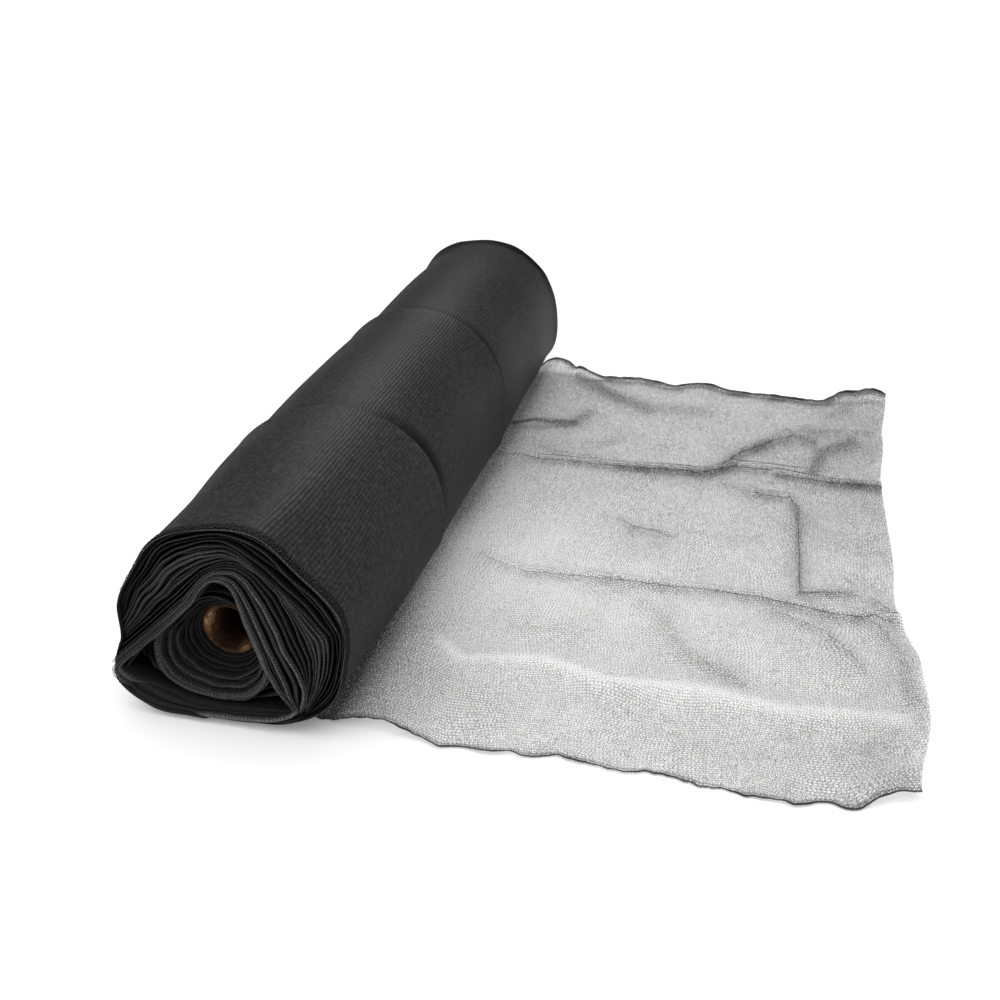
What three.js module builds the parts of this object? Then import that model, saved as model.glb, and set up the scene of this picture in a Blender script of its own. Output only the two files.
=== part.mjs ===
// Debris netting: a black knitted net wound on a cardboard tube and laid on a floor,
// with its loose end pulled out from under the roll and lying in low creases to one side.
// Millimetres. +Y runs along the roll from its open end, +X points to the loose end, +Z is up.

import * as THREE from 'three';

// Driving dimensions
const ROLL_LENGTH = 1000;
const TUBE_OUTER = 54;
const TUBE_INNER = 46;
const TUBE_X = -18;
const TUBE_HEIGHT = 82;
const TUBE_NEAR_RECESS = 34;
const TUBE_FAR_RECESS = 6;
const NET_THICKNESS = 2;
const FIT_GAP = 0.3;

// How far the squashed shape of the open end reaches into the roll
const OPEN_END_LENGTH = 190;
// Where the loose end goes in under the open end, whose flat spot is wider than the body's
const OPEN_END_TUCK = 46;
// The end turns stop this much deeper than the tube
const TURNS_BEHIND_TUBE = 3;
// Net is pressed flat against the floor, so a ridge fades out between these two heights
const RIDGE_FADE = { gone: 18, whole: 80 };

// Fineness of the solids
const RING_POINTS = 48;
const TUBE_SIDES = 48;
const LENGTHWISE_STEPS = 25;
const CROSSWISE_STEPS = 60;

// The wound body: radius and centre of its section at places along the roll
const BODY = [
  { y: 0, radius: 109, x: 2, height: 107.5 },
  { y: 250, radius: 110, x: 0, height: 108 },
  { y: 400, radius: 112, x: -1, height: 110 },
  { y: 600, radius: 111.5, x: 0, height: 109.5 },
  { y: 820, radius: 112.5, x: -4, height: 110 },
  { y: 960, radius: 113.5, x: -7, height: 110 },
  { y: 1000, radius: 112.5, x: -8, height: 109 },
];
// A slack shoulder of net along the side where the loose end leaves
const SHOULDER = { direction: -32, rise: 12, spread: 22 };

// Two ridges run round the roll where the folded net changes thickness
const NEAR_RIDGE = { y: 262, swing: 30, furthest: -20 };
const FAR_RIDGE = { y: 580, swing: 10, furthest: 90 };
// Sections along the roll: place, share of each ridge's swing, and how far the net stands out
const STATIONS = [
  { y: 8, near: 0, far: 0, lift: 0 },
  { y: 40, near: 0, far: 0, lift: 0 },
  { y: 95, near: 0.2, far: 0, lift: 0 },
  { y: 150, near: 0.5, far: 0, lift: 0 },
  { y: 205, near: 0.9, far: 0, lift: 1 },
  { y: 248, near: 1, far: 0, lift: 2.5 },
  { y: 258, near: 1, far: 0, lift: 3 },
  { y: 265, near: 1, far: 0, lift: -2.5 },
  { y: 300, near: 0.9, far: 0, lift: -2.5 },
  { y: 355, near: 0.5, far: 0.1, lift: 0 },
  { y: 425, near: 0.2, far: 0.4, lift: 0 },
  { y: 500, near: 0, far: 0.9, lift: 1 },
  { y: 560, near: 0, far: 1, lift: 3 },
  { y: 576, near: 0, far: 1, lift: 4 },
  { y: 583, near: 0, far: 1, lift: -3 },
  { y: 620, near: 0, far: 0.9, lift: -3 },
  { y: 690, near: 0, far: 0.5, lift: -1.5 },
  { y: 770, near: 0, far: 0.2, lift: 0 },
  { y: 860, near: 0, far: 0, lift: 0 },
  { y: 945, near: 0, far: 0, lift: 0 },
  { y: 992, near: 0, far: 0, lift: 0 },
];

// The open end seen along the roll: distances from the tube's axis in each direction.
// rim is the outermost turn, sash the three-cornered loop of turns, oval the inner bundle.
const OPEN_END = [
  { direction: 0, rim: 124, sash: 63, oval: 42 },
  { direction: 22.5, rim: 133, sash: 60, oval: 42 },
  { direction: 45, rim: 126, sash: 67, oval: 44 },
  { direction: 67.5, rim: 131.5, sash: 82, oval: 48 },
  { direction: 90, rim: 121, sash: 82, oval: 50 },
  { direction: 112.5, rim: 114, sash: 69, oval: 48 },
  { direction: 135, rim: 100, sash: 64, oval: 46 },
  { direction: 157.5, rim: 96, sash: 68, oval: 50 },
  { direction: 180, rim: 93, sash: 83, oval: 58 },
  { direction: 202.5, rim: 108, sash: 99, oval: 63 },
  { direction: 225, rim: 102, sash: 91, oval: 63 },
  { direction: 247.5, rim: 89, sash: 78, oval: 57 },
  { direction: 270, rim: 82, sash: 71, oval: 54 },
  { direction: 292.5, rim: 89, sash: 76, oval: 52 },
  { direction: 315, rim: 105, sash: 90, oval: 48 },
  { direction: 337.5, rim: 115, sash: 83, oval: 44 },
];
// The open end from its rim inwards: a share of the way between two outlines, and the depth
const OPEN_END_RINGS = [
  { from: 'rim', to: 'sash', share: 0.05, depth: 1 },
  { from: 'rim', to: 'sash', share: 0.2, depth: 0 },
  { from: 'rim', to: 'sash', share: 0.32, depth: 8 },
  { from: 'rim', to: 'sash', share: 0.48, depth: 1 },
  { from: 'rim', to: 'sash', share: 0.66, depth: 8 },
  { from: 'rim', to: 'sash', share: 0.84, depth: -2 },
  { from: 'rim', to: 'sash', share: 1, depth: -5 },
  { from: 'sash', to: 'oval', share: 0.25, depth: -1 },
  { from: 'sash', to: 'oval', share: 0.45, depth: 24 },
  { from: 'sash', to: 'oval', share: 0.78, depth: 22 },
  { from: 'sash', to: 'oval', share: 1, depth: 11 },
  { from: 'oval', to: 'bore', share: 0.3, depth: 13 },
  { from: 'oval', to: 'bore', share: 0.5, depth: 28 },
  { from: 'oval', to: 'bore', share: 0.85, depth: 32 },
];
// The far end from its rim inwards
const FAR_END_RINGS = [
  { share: 0.06, depth: 0 },
  { share: 0.3, depth: 0 },
  { share: 0.38, depth: 4 },
  { share: 0.55, depth: 1 },
  { share: 0.63, depth: 5 },
  { share: 0.9, depth: 4 },
];
const BORE_STATIONS = [750, 500, 250];

// The loose end's three free edges
const NEAR_EDGE = [
  { x: 34, y: 24 },
  { x: 130, y: 25 },
  { x: 200, y: 12 },
  { x: 290, y: 20 },
  { x: 350, y: 13 },
  { x: 390, y: 17 },
  { x: 480, y: 6 },
  { x: 540, y: 13 },
  { x: 605, y: 37 },
];
const FAR_EDGE = [
  { x: 34, y: 1008 },
  { x: 105, y: 1018 },
  { x: 183, y: 994 },
  { x: 242, y: 997 },
  { x: 302, y: 984 },
  { x: 352, y: 1002 },
  { x: 404, y: 982 },
  { x: 500, y: 968 },
  { x: 567, y: 988 },
  { x: 632, y: 998 },
];
const OUTER_EDGE = [
  { y: 0, x: 602 },
  { y: 130, x: 621 },
  { y: 220, x: 619 },
  { y: 328, x: 604 },
  { y: 470, x: 609 },
  { y: 660, x: 608 },
  { y: 830, x: 620 },
  { y: 1000, x: 633 },
];
// The loose end's creases, each a ridge from one point to another with a height at both
const FOLDS = [
  { x0: 118, y0: 0, h0: 9, x1: 124, y1: 330, h1: 7, width: 55 },
  { x0: 124, y0: 330, h0: 7, x1: 118, y1: 700, h1: 9, width: 55 },
  { x0: 118, y0: 700, h0: 9, x1: 112, y1: 1035, h1: 20, width: 52 },
  { x0: 90, y0: 650, h0: 8, x1: 345, y1: 655, h1: 8, width: 26 },
  { x0: 345, y0: 655, h0: 8, x1: 467, y1: 679, h1: 11, width: 28 },
  { x0: 467, y0: 679, h0: 11, x1: 610, y1: 664, h1: 7, width: 26 },
  { x0: 398, y0: 664, h0: 9, x1: 459, y1: 791, h1: 10, width: 30 },
  { x0: 459, y0: 791, h0: 10, x1: 500, y1: 814, h1: 11, width: 32 },
  { x0: 500, y0: 814, h0: 11, x1: 600, y1: 815, h1: 5, width: 32 },
  { x0: 520, y0: 686, h0: 8, x1: 560, y1: 796, h1: 9, width: 28 },
  { x0: 100, y0: 357, h0: 7, x1: 283, y1: 340, h1: 8, width: 26 },
  { x0: 283, y0: 340, h0: 8, x1: 439, y1: 336, h1: 8, width: 26 },
  { x0: 439, y0: 336, h0: 8, x1: 605, y1: 322, h1: 12, width: 28 },
  { x0: 474, y0: 318, h0: 8, x1: 578, y1: 237, h1: 7, width: 30 },
  { x0: 586, y0: 320, h0: 11, x1: 615, y1: 215, h1: 8, width: 30 },
  { x0: 395, y0: 625, h0: 7, x1: 500, y1: 596, h1: 8, width: 25 },
  { x0: 500, y0: 596, h0: 8, x1: 503, y1: 364, h1: 8, width: 26 },
  { x0: 503, y0: 364, h0: 8, x1: 552, y1: 370, h1: 6, width: 25 },
  { x0: 280, y0: 491, h0: 5, x1: 345, y1: 462, h1: 7, width: 28 },
  { x0: 140, y0: 1008, h0: 15, x1: 255, y1: 900, h1: 9, width: 34 },
  { x0: 255, y0: 900, h0: 9, x1: 362, y1: 871, h1: 6, width: 32 },
  { x0: 108, y0: 772, h0: 11, x1: 197, y1: 850, h1: 7, width: 32 },
  { x0: 150, y0: 185, h0: 5, x1: 312, y1: 146, h1: 7, width: 38 },
  { x0: 312, y0: 146, h0: 7, x1: 485, y1: 132, h1: 8, width: 38 },
  { x0: 485, y0: 132, h0: 8, x1: 580, y1: 150, h1: 5, width: 36 },
  { x0: 347, y0: 293, h0: 6, x1: 383, y1: 229, h1: 8, width: 30 },
  { x0: 383, y0: 229, h0: 8, x1: 450, y1: 160, h1: 7, width: 30 },
  { x0: 570, y0: 40, h0: 10, x1: 606, y1: 66, h1: 7, width: 36 },
  { x0: 580, y0: 1000, h0: 17, x1: 604, y1: 1004, h1: 16, width: 42 },
];

const NET = { color: 0x2e2f30, roughness: 0.85, metalness: 0 };
const LOOSE_NET = { color: 0x4a4b4c, roughness: 0.85, metalness: 0 };
const CARDBOARD = { color: 0x8f6a45, roughness: 0.9, metalness: 0 };

const { lerp, smoothstep, degToRad } = THREE.MathUtils;

// A column of a table at a place between its rows, eased from row to row
function column(rows, key, place, name) {
  const next = rows.findIndex((row) => row[key] >= place);
  if (next === -1) {
    return rows[rows.length - 1][name];
  }
  if (next === 0) {
    return rows[0][name];
  }
  const before = rows[next - 1];
  const after = rows[next];
  return lerp(before[name], after[name], smoothstep(place, before[key], after[key]));
}

// A distance of the open end in any direction, on a smooth closed curve through the table
function openEndReach(name, direction) {
  if (name === 'bore') {
    return TUBE_OUTER / 2 + FIT_GAP;
  }
  const count = OPEN_END.length;
  const place = (direction / 360) * count;
  const row = Math.floor(place);
  const t = place - row;
  const [a, b, c, d] = [-1, 0, 1, 2].map((k) => OPEN_END[(row + k + count) % count][name]);
  const bend = 2 * a - 5 * b + 4 * c - d;
  return b + 0.5 * t * (c - a + t * (bend + t * (3 * b - a - 3 * c + d)));
}

function towards(x, z, direction, reach) {
  const angle = degToRad(direction);
  return { x: x + reach * Math.cos(angle), z: z + reach * Math.sin(angle) };
}

function openEndPoint(from, to, share, direction) {
  const reach = lerp(openEndReach(from, direction), openEndReach(to, direction), share);
  return towards(TUBE_X, TUBE_HEIGHT, direction, reach);
}

// The round body with its shoulder, before the open end and the ridges shape it
function bodyPoint(direction, y, lift) {
  const [radius, x, height] = ['radius', 'x', 'height'].map((name) => column(BODY, 'y', y, name));
  const turn = THREE.MathUtils.euclideanModulo(direction - SHOULDER.direction + 180, 360) - 180;
  const shoulder = SHOULDER.rise * Math.exp(-((turn / SHOULDER.spread) ** 2));
  const bare = towards(x, height, direction, radius + shoulder);
  const ridge = lift * smoothstep(bare.z, RIDGE_FADE.gone, RIDGE_FADE.whole);
  return towards(x, height, direction, radius + shoulder + ridge);
}

// A point of the roll's outside; what would reach below the floor is pressed flat on it
function sidePoint(direction, station) {
  const nearSwing = NEAR_RIDGE.swing * Math.cos(degToRad(direction - NEAR_RIDGE.furthest));
  const farSwing = FAR_RIDGE.swing * Math.cos(degToRad(direction - FAR_RIDGE.furthest));
  const y = station.y + station.near * nearSwing + station.far * farSwing;
  const end = openEndPoint('rim', 'rim', 0, direction);
  const body = bodyPoint(direction, y, station.lift);
  const share = smoothstep(y, 0, OPEN_END_LENGTH);
  const z = lerp(end.z, body.z, share);
  return new THREE.Vector3(lerp(end.x, body.x, share), y, Math.max(z, 0));
}

function ring(pointAt) {
  return Array.from({ length: RING_POINTS }, (_, k) => pointAt((360 * k) / RING_POINTS));
}

function meshOf(name, geometry, finish) {
  const mesh = new THREE.Mesh(geometry, new THREE.MeshStandardMaterial(finish));
  mesh.name = name;
  return mesh;
}

function geometryOf(points, triangles) {
  const geometry = new THREE.BufferGeometry().setFromPoints(points);
  geometry.setIndex(triangles);
  geometry.computeVertexNormals();
  return geometry;
}

// Joins each ring to the next and the last one to the first, like a tyre
function loftClosed(rings) {
  const triangles = [];
  for (let r = 0; r < rings.length; r += 1) {
    const here = r * RING_POINTS;
    const there = ((r + 1) % rings.length) * RING_POINTS;
    for (let k = 0; k < RING_POINTS; k += 1) {
      const next = (k + 1) % RING_POINTS;
      triangles.push(here + k, there + k, here + next);
      triangles.push(here + next, there + k, there + next);
    }
  }
  return geometryOf(rings.flat(), triangles);
}

// The wound net: its outside, the open near end, the bore round the tube and the far end
function netRoll() {
  const outside = STATIONS.map((station) => ring((direction) => sidePoint(direction, station)));
  const openEnd = OPEN_END_RINGS.map(({ from, to, share, depth }) => ring((direction) => {
    const { x, z } = openEndPoint(from, to, share, direction);
    return new THREE.Vector3(x, depth, z);
  }));
  const bore = (y) => ring((direction) => {
    const { x, z } = openEndPoint('bore', 'bore', 0, direction);
    return new THREE.Vector3(x, y, z);
  });
  const nearSeat = bore(TUBE_NEAR_RECESS + TURNS_BEHIND_TUBE);
  const farSeat = bore(ROLL_LENGTH - TUBE_FAR_RECESS - TURNS_BEHIND_TUBE);
  const farRim = outside[outside.length - 1];
  const farEnd = FAR_END_RINGS.map(({ share, depth }) => farRim.map((point, k) => {
    const inner = farSeat[k];
    const x = lerp(point.x, inner.x, share);
    const z = lerp(point.z, inner.z, share);
    return new THREE.Vector3(x, ROLL_LENGTH - depth, z);
  }));
  const throughBore = BORE_STATIONS.map(bore);
  const rings = [...outside, ...farEnd, farSeat, ...throughBore, nearSeat, ...openEnd.reverse()];
  return loftClosed(rings);
}

function coreTube() {
  const length = ROLL_LENGTH - TUBE_NEAR_RECESS - TUBE_FAR_RECESS;
  const inner = TUBE_INNER / 2;
  const outer = TUBE_OUTER / 2;
  const profile = [[inner, 0], [outer, 0], [outer, length], [inner, length], [inner, 0]];
  return new THREE.LatheGeometry(profile.map(([r, y]) => new THREE.Vector2(r, y)), TUBE_SIDES);
}

// Height of the loose end over the floor: the highest crease that passes there
function foldHeight(x, y) {
  const rises = FOLDS.map(({ x0, y0, h0, x1, y1, h1, width }) => {
    const along = new THREE.Vector2(x1 - x0, y1 - y0);
    const offset = new THREE.Vector2(x - x0, y - y0);
    const share = THREE.MathUtils.clamp(offset.dot(along) / along.lengthSq(), 0, 1);
    const away = offset.sub(along.multiplyScalar(share)).length() / width;
    return away < 1 ? lerp(h0, h1, share) * (1 - away * away) ** 2 : 0;
  });
  return Math.max(...rises);
}

// Where the loose end goes in under the roll: the roll's underside stands just over the net
function tuckedX(y) {
  const [radius, x, height] = ['radius', 'x', 'height'].map((name) => column(BODY, 'y', y, name));
  const underBody = x + Math.sqrt(radius ** 2 - (height - NET_THICKNESS - 2 * FIT_GAP) ** 2);
  return lerp(OPEN_END_TUCK, underBody, smoothstep(y, 0, OPEN_END_LENGTH));
}

function looseEndPoint(i, j, lift) {
  const acrossRoll = j / CROSSWISE_STEPS;
  const plainY = acrossRoll * ROLL_LENGTH;
  const x = lerp(tuckedX(plainY), column(OUTER_EDGE, 'y', plainY, 'x'), i / LENGTHWISE_STEPS);
  const y = lerp(column(NEAR_EDGE, 'x', x, 'y'), column(FAR_EDGE, 'x', x, 'y'), acrossRoll);
  return new THREE.Vector3(x, y, foldHeight(x, y) + lift);
}

// The loose end: one uncut sheet, its upper and lower faces joined along four edges
function looseEnd() {
  const points = [];
  for (const lift of [0, NET_THICKNESS]) {
    for (let i = 0; i <= LENGTHWISE_STEPS; i += 1) {
      for (let j = 0; j <= CROSSWISE_STEPS; j += 1) {
        points.push(looseEndPoint(i, j, lift));
      }
    }
  }
  const upper = points.length / 2;
  const at = (i, j) => i * (CROSSWISE_STEPS + 1) + j;
  const triangles = [];
  const quad = (a, b, c, d) => triangles.push(a, b, c, a, c, d);
  for (let i = 0; i < LENGTHWISE_STEPS; i += 1) {
    for (let j = 0; j < CROSSWISE_STEPS; j += 1) {
      const [a, b, c, d] = [at(i, j), at(i + 1, j), at(i + 1, j + 1), at(i, j + 1)];
      quad(upper + a, upper + b, upper + c, upper + d);
      quad(d, c, b, a);
    }
  }
  const edge = (a, b) => quad(a, b, upper + b, upper + a);
  for (let i = 0; i < LENGTHWISE_STEPS; i += 1) {
    edge(at(i, 0), at(i + 1, 0));
    edge(at(i + 1, CROSSWISE_STEPS), at(i, CROSSWISE_STEPS));
  }
  for (let j = 0; j < CROSSWISE_STEPS; j += 1) {
    edge(at(LENGTHWISE_STEPS, j), at(LENGTHWISE_STEPS, j + 1));
    edge(at(0, j + 1), at(0, j));
  }
  return geometryOf(points, triangles);
}

function debrisNetting() {
  const netting = new THREE.Group();
  const tube = meshOf('core_tube', coreTube(), CARDBOARD);
  tube.position.set(TUBE_X, TUBE_NEAR_RECESS, TUBE_HEIGHT);
  netting.add(meshOf('net_roll', netRoll(), NET), tube, meshOf('loose_end', looseEnd(), LOOSE_NET));

  // The origin is on the floor under the middle of the whole part
  const middle = new THREE.Box3().setFromObject(netting).getCenter(new THREE.Vector3());
  netting.position.set(-middle.x, -middle.y, 0);
  return netting;
}

export default debrisNetting();
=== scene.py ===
"""Debris netting: a black knitted net wound on a cardboard tube, its loose end lying in creases.

Lengths are millimetres in the roll's own frame, where +Y runs along the roll from its open end,
+X points to the loose end and +Z is up. place() turns them into metres in the part's frame.
Directions round the roll are degrees from +X up over the top.
"""

import math

import bpy
import numpy as np
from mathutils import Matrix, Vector


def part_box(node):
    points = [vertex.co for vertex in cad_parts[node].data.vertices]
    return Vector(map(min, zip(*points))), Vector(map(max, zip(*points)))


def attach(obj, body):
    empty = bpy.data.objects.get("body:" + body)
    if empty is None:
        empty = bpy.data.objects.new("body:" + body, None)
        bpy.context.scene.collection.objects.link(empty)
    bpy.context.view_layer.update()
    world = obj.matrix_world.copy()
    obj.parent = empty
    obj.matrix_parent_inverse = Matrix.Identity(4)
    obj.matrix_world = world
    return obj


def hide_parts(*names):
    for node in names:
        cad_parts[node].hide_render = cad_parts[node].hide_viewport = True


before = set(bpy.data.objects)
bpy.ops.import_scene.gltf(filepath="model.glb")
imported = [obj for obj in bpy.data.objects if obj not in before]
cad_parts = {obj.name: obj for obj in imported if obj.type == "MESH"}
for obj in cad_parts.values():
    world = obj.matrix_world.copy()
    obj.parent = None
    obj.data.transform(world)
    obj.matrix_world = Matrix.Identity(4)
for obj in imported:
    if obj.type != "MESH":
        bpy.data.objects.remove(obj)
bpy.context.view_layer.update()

MM = 0.001


def table(columns, rows):
    """Rows of values as dicts, with the columns named once for all of them."""
    return [dict(zip(columns.split(), row)) for row in rows]


# Sizes of the roll and its tube, as in the part's source
ROLL_LENGTH = 1000
TUBE_OUTER = 54
TUBE_INNER = 46
TUBE_X = -18
TUBE_HEIGHT = 82
TUBE_NEAR_RECESS = 34
TUBE_FAR_RECESS = 6
TURNS_BEHIND_TUBE = 3
FIT_GAP = 0.3
NET_THICKNESS = 2
OPEN_END_LENGTH = 190
OPEN_END_TUCK = 46
RIDGE_FADE = (18, 80)

# The wound body: radius and centre of its section at places along the roll
BODY = table("y radius x height", [
    (0, 109, 2, 107.5), (250, 110, 0, 108), (400, 112, -1, 110), (600, 111.5, 0, 109.5),
    (820, 112.5, -4, 110), (960, 112, -6, 108), (1000, 111.5, -4, 105.5),
])
ROLL_ROUND = 2 * math.pi * BODY[2]["radius"]
SHOULDER = dict(direction=-32, rise=12, spread=22)
# The far rim flares on the side away from the loose end
FAR_FLARE = dict(direction=130, rise=9, spread=22, start=925, full=985)

# Ridges round the roll: the net swells up to each one and drops sharply behind it; hollows are the
# directions where the net behind it drops deepest and lies darkest with painted shade
RIDGES = [
    dict(y=262, swing=30, furthest=-20, rise=3.2, rise_over=34, drop=-2.8, drop_over=40, blend=170,
         hollows=table("direction spread dark", [(22, 34, 0.85), (110, 40, 0.2)])),
    dict(y=580, swing=10, furthest=90, rise=4.2, rise_over=30, drop=-3.4, drop_over=50, blend=170,
         hollows=table("direction spread dark", [(128, 30, 0.75), (75, 30, 0.4), (18, 30, 0.85)])),
]
RIDGE_EDGE = 2.0
HOLLOW_DEPTH = 0.7
# Tones along the roll: a painted highlight on a ridge's crest and painted shade in the hollow behind it,
# then the painted shade fades out
CREST = (-1.5, 0.5)
CREST_PAINTED_HIGHLIGHT = 0.3
CREST_FADE = 6
HOLLOW_LENGTH = 19
HOLLOW_END = 1.6 * HOLLOW_LENGTH
HOLLOW_PAINTED_SHADE = 0.92
# Dark bands of the skin: the selvedges at both rims, and painted shade on the low side beside the loose end
NEAR_SELVEDGE = dict(direction=80, spread=70, within=(6, 10), dark=0.8)
FAR_SELVEDGE = dict(direction=68, spread=62, strength=1.6, left=(95, 130), under=(270, 320), dark=0.97)
FAR_SELVEDGE_WIDTH = dict(right=24, left=38, change=(40, 95), soft_before=12, soft_after=6)
LOW_SIDE_PAINTED_SHADE = dict(direction=-50, spread=26, dark=0.45)
# Painted shade inside the roll: the open end's floor behind the turns, the bore and the far end's floor
INSIDE_PAINTED_SHADE = 0.06

# Rows of the skin along the roll, closer at the ridges and rims, and the room plain rows leave for them
RIDGE_ROWS = [-16, -10, -6.5, -4, -2.5, -1.5, -0.75, 0, 0.75, 1.5, 2.5, 4, 6.5, 10, 16, 24, 34]
RIM_ROWS = [0.8, 2, 3.5, 5, 6.5, 8, 9.5, 11, 15]
FAR_RIM_ROWS = [-66, -56, -51, -46, -42, -38, -34, -30, -26, -22, -18, -13, -9]
ROW_ROOM = dict(rim=8, ridge=4, far_rim=6)
LAST_ROW = ROLL_LENGTH - 6
FAR_END_FLOOR = table("share depth", [(0.03, 1), (0.06, 10), (0.9, 12)])
BORE_FAR_STEP = 6
BORE_NEAR_STEP = 12
SEAM_SPAN = 2
# Unevenness of the skin: its ribs swing by some degrees, and its slack stands out by some millimetres
RIB_SWINGS = table("thing degrees line", [("rib_swing", 0.25, 0), ("rib_shiver", 0.12, 40)])
SLACK = dict(rise=0.4, round=150, start=60)

# The open end seen along the roll: distances from the tube's axis, in even steps of direction
OPEN_END = table("rim oval", [
    (124, 46), (133, 43), (126, 44), (131.5, 48), (121, 50), (114, 48), (100, 46), (96, 50), (91, 59),
    (110, 67), (102, 68), (83, 62), (77, 59), (82, 58.5), (98, 56), (117, 51),
])

# Where the slack outer turns end and the tight bundle of turns starts, as places in the open end
BUNDLE = table("x z", [
    (90, 86), (91, 107), (72, 128), (51, 149), (30, 167), (16, 181), (2, 187), (-21, 184), (-44, 175),
    (-59, 164), (-71, 148), (-85, 132), (-98, 110), (-107, 95), (-126, 66), (-134, 30), (-90, -4),
    (-40, -6), (6, -6), (40, 2), (64, 20), (70, 34), (80, 50), (87, 67),
])
# The band of folded net that hangs over the tube: three lines that end at the rim on one side and
# meet in a foot on the other, where a pale lip runs on along the bottom
LEG_OUT = table("x z", [
    (72, 82), (65, 102), (58, 126), (47, 149), (30, 166), (13, 173), (-1, 172), (-21, 161), (-37, 146),
    (-75, 109), (-107, 79), (-128, 58), (-134, 26), (-90, -6), (-40, -8), (6, -8), (45, 4), (62, 26),
    (66, 38), (72, 61),
])
LEG_MID = table("x z", [
    (51, 93), (45, 113), (35, 137), (23, 159), (12, 166), (-6, 164), (-21, 153), (-39, 129), (-77, 93),
    (-110, 63), (-130, 44), (-130, 20), (-85, -4), (-40, -6), (6, -5), (45, 8), (61, 28), (66, 40),
    (68, 53), (62, 71),
])
LEG_IN = table("x z", [
    (25, 96), (19, 116), (14, 136), (10, 150), (1, 158), (-11, 156), (-20, 147), (-29, 132),
    (-60, 101), (-89, 74), (-114, 51), (-95, 37), (-74, 29), (-57, 22), (-37, 18), (-13, 16), (22, 19),
    (50, 23), (59, 29), (42, 51), (31, 73),
])
LIP = table("x z", [
    (61, 31), (51, 21), (36, 15), (21, 12.5), (1, 10.5), (-39, 9), (-80, 13), (-104, 24), (-110, 48),
    (-89, 74), (-60, 101), (-29, 132), (-11, 156), (10, 150), (19, 116), (31, 73), (44, 50),
])
LEG_ROUNDING = 2.5
LINE_STEPS = 24
HALF_DEGREES = 720

# The floor of the open end behind the turns, from the rim inwards
OPEN_END_FLOOR = table("outer inner share depth", [
    ("rim", "leg_out", 0.05, 2), ("rim", "leg_out", 0.12, 18), ("rim", "leg_out", 0.9, 18),
    ("leg_out", "leg_in", 0.8, 20), ("leg_in", "oval", 0.3, 38), ("oval", "bore", 0.0, 38),
    ("oval", "bore", 0.9, 44),
])
RIM_WALL = 1.5
WALL_LEAN = 0.15
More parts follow.
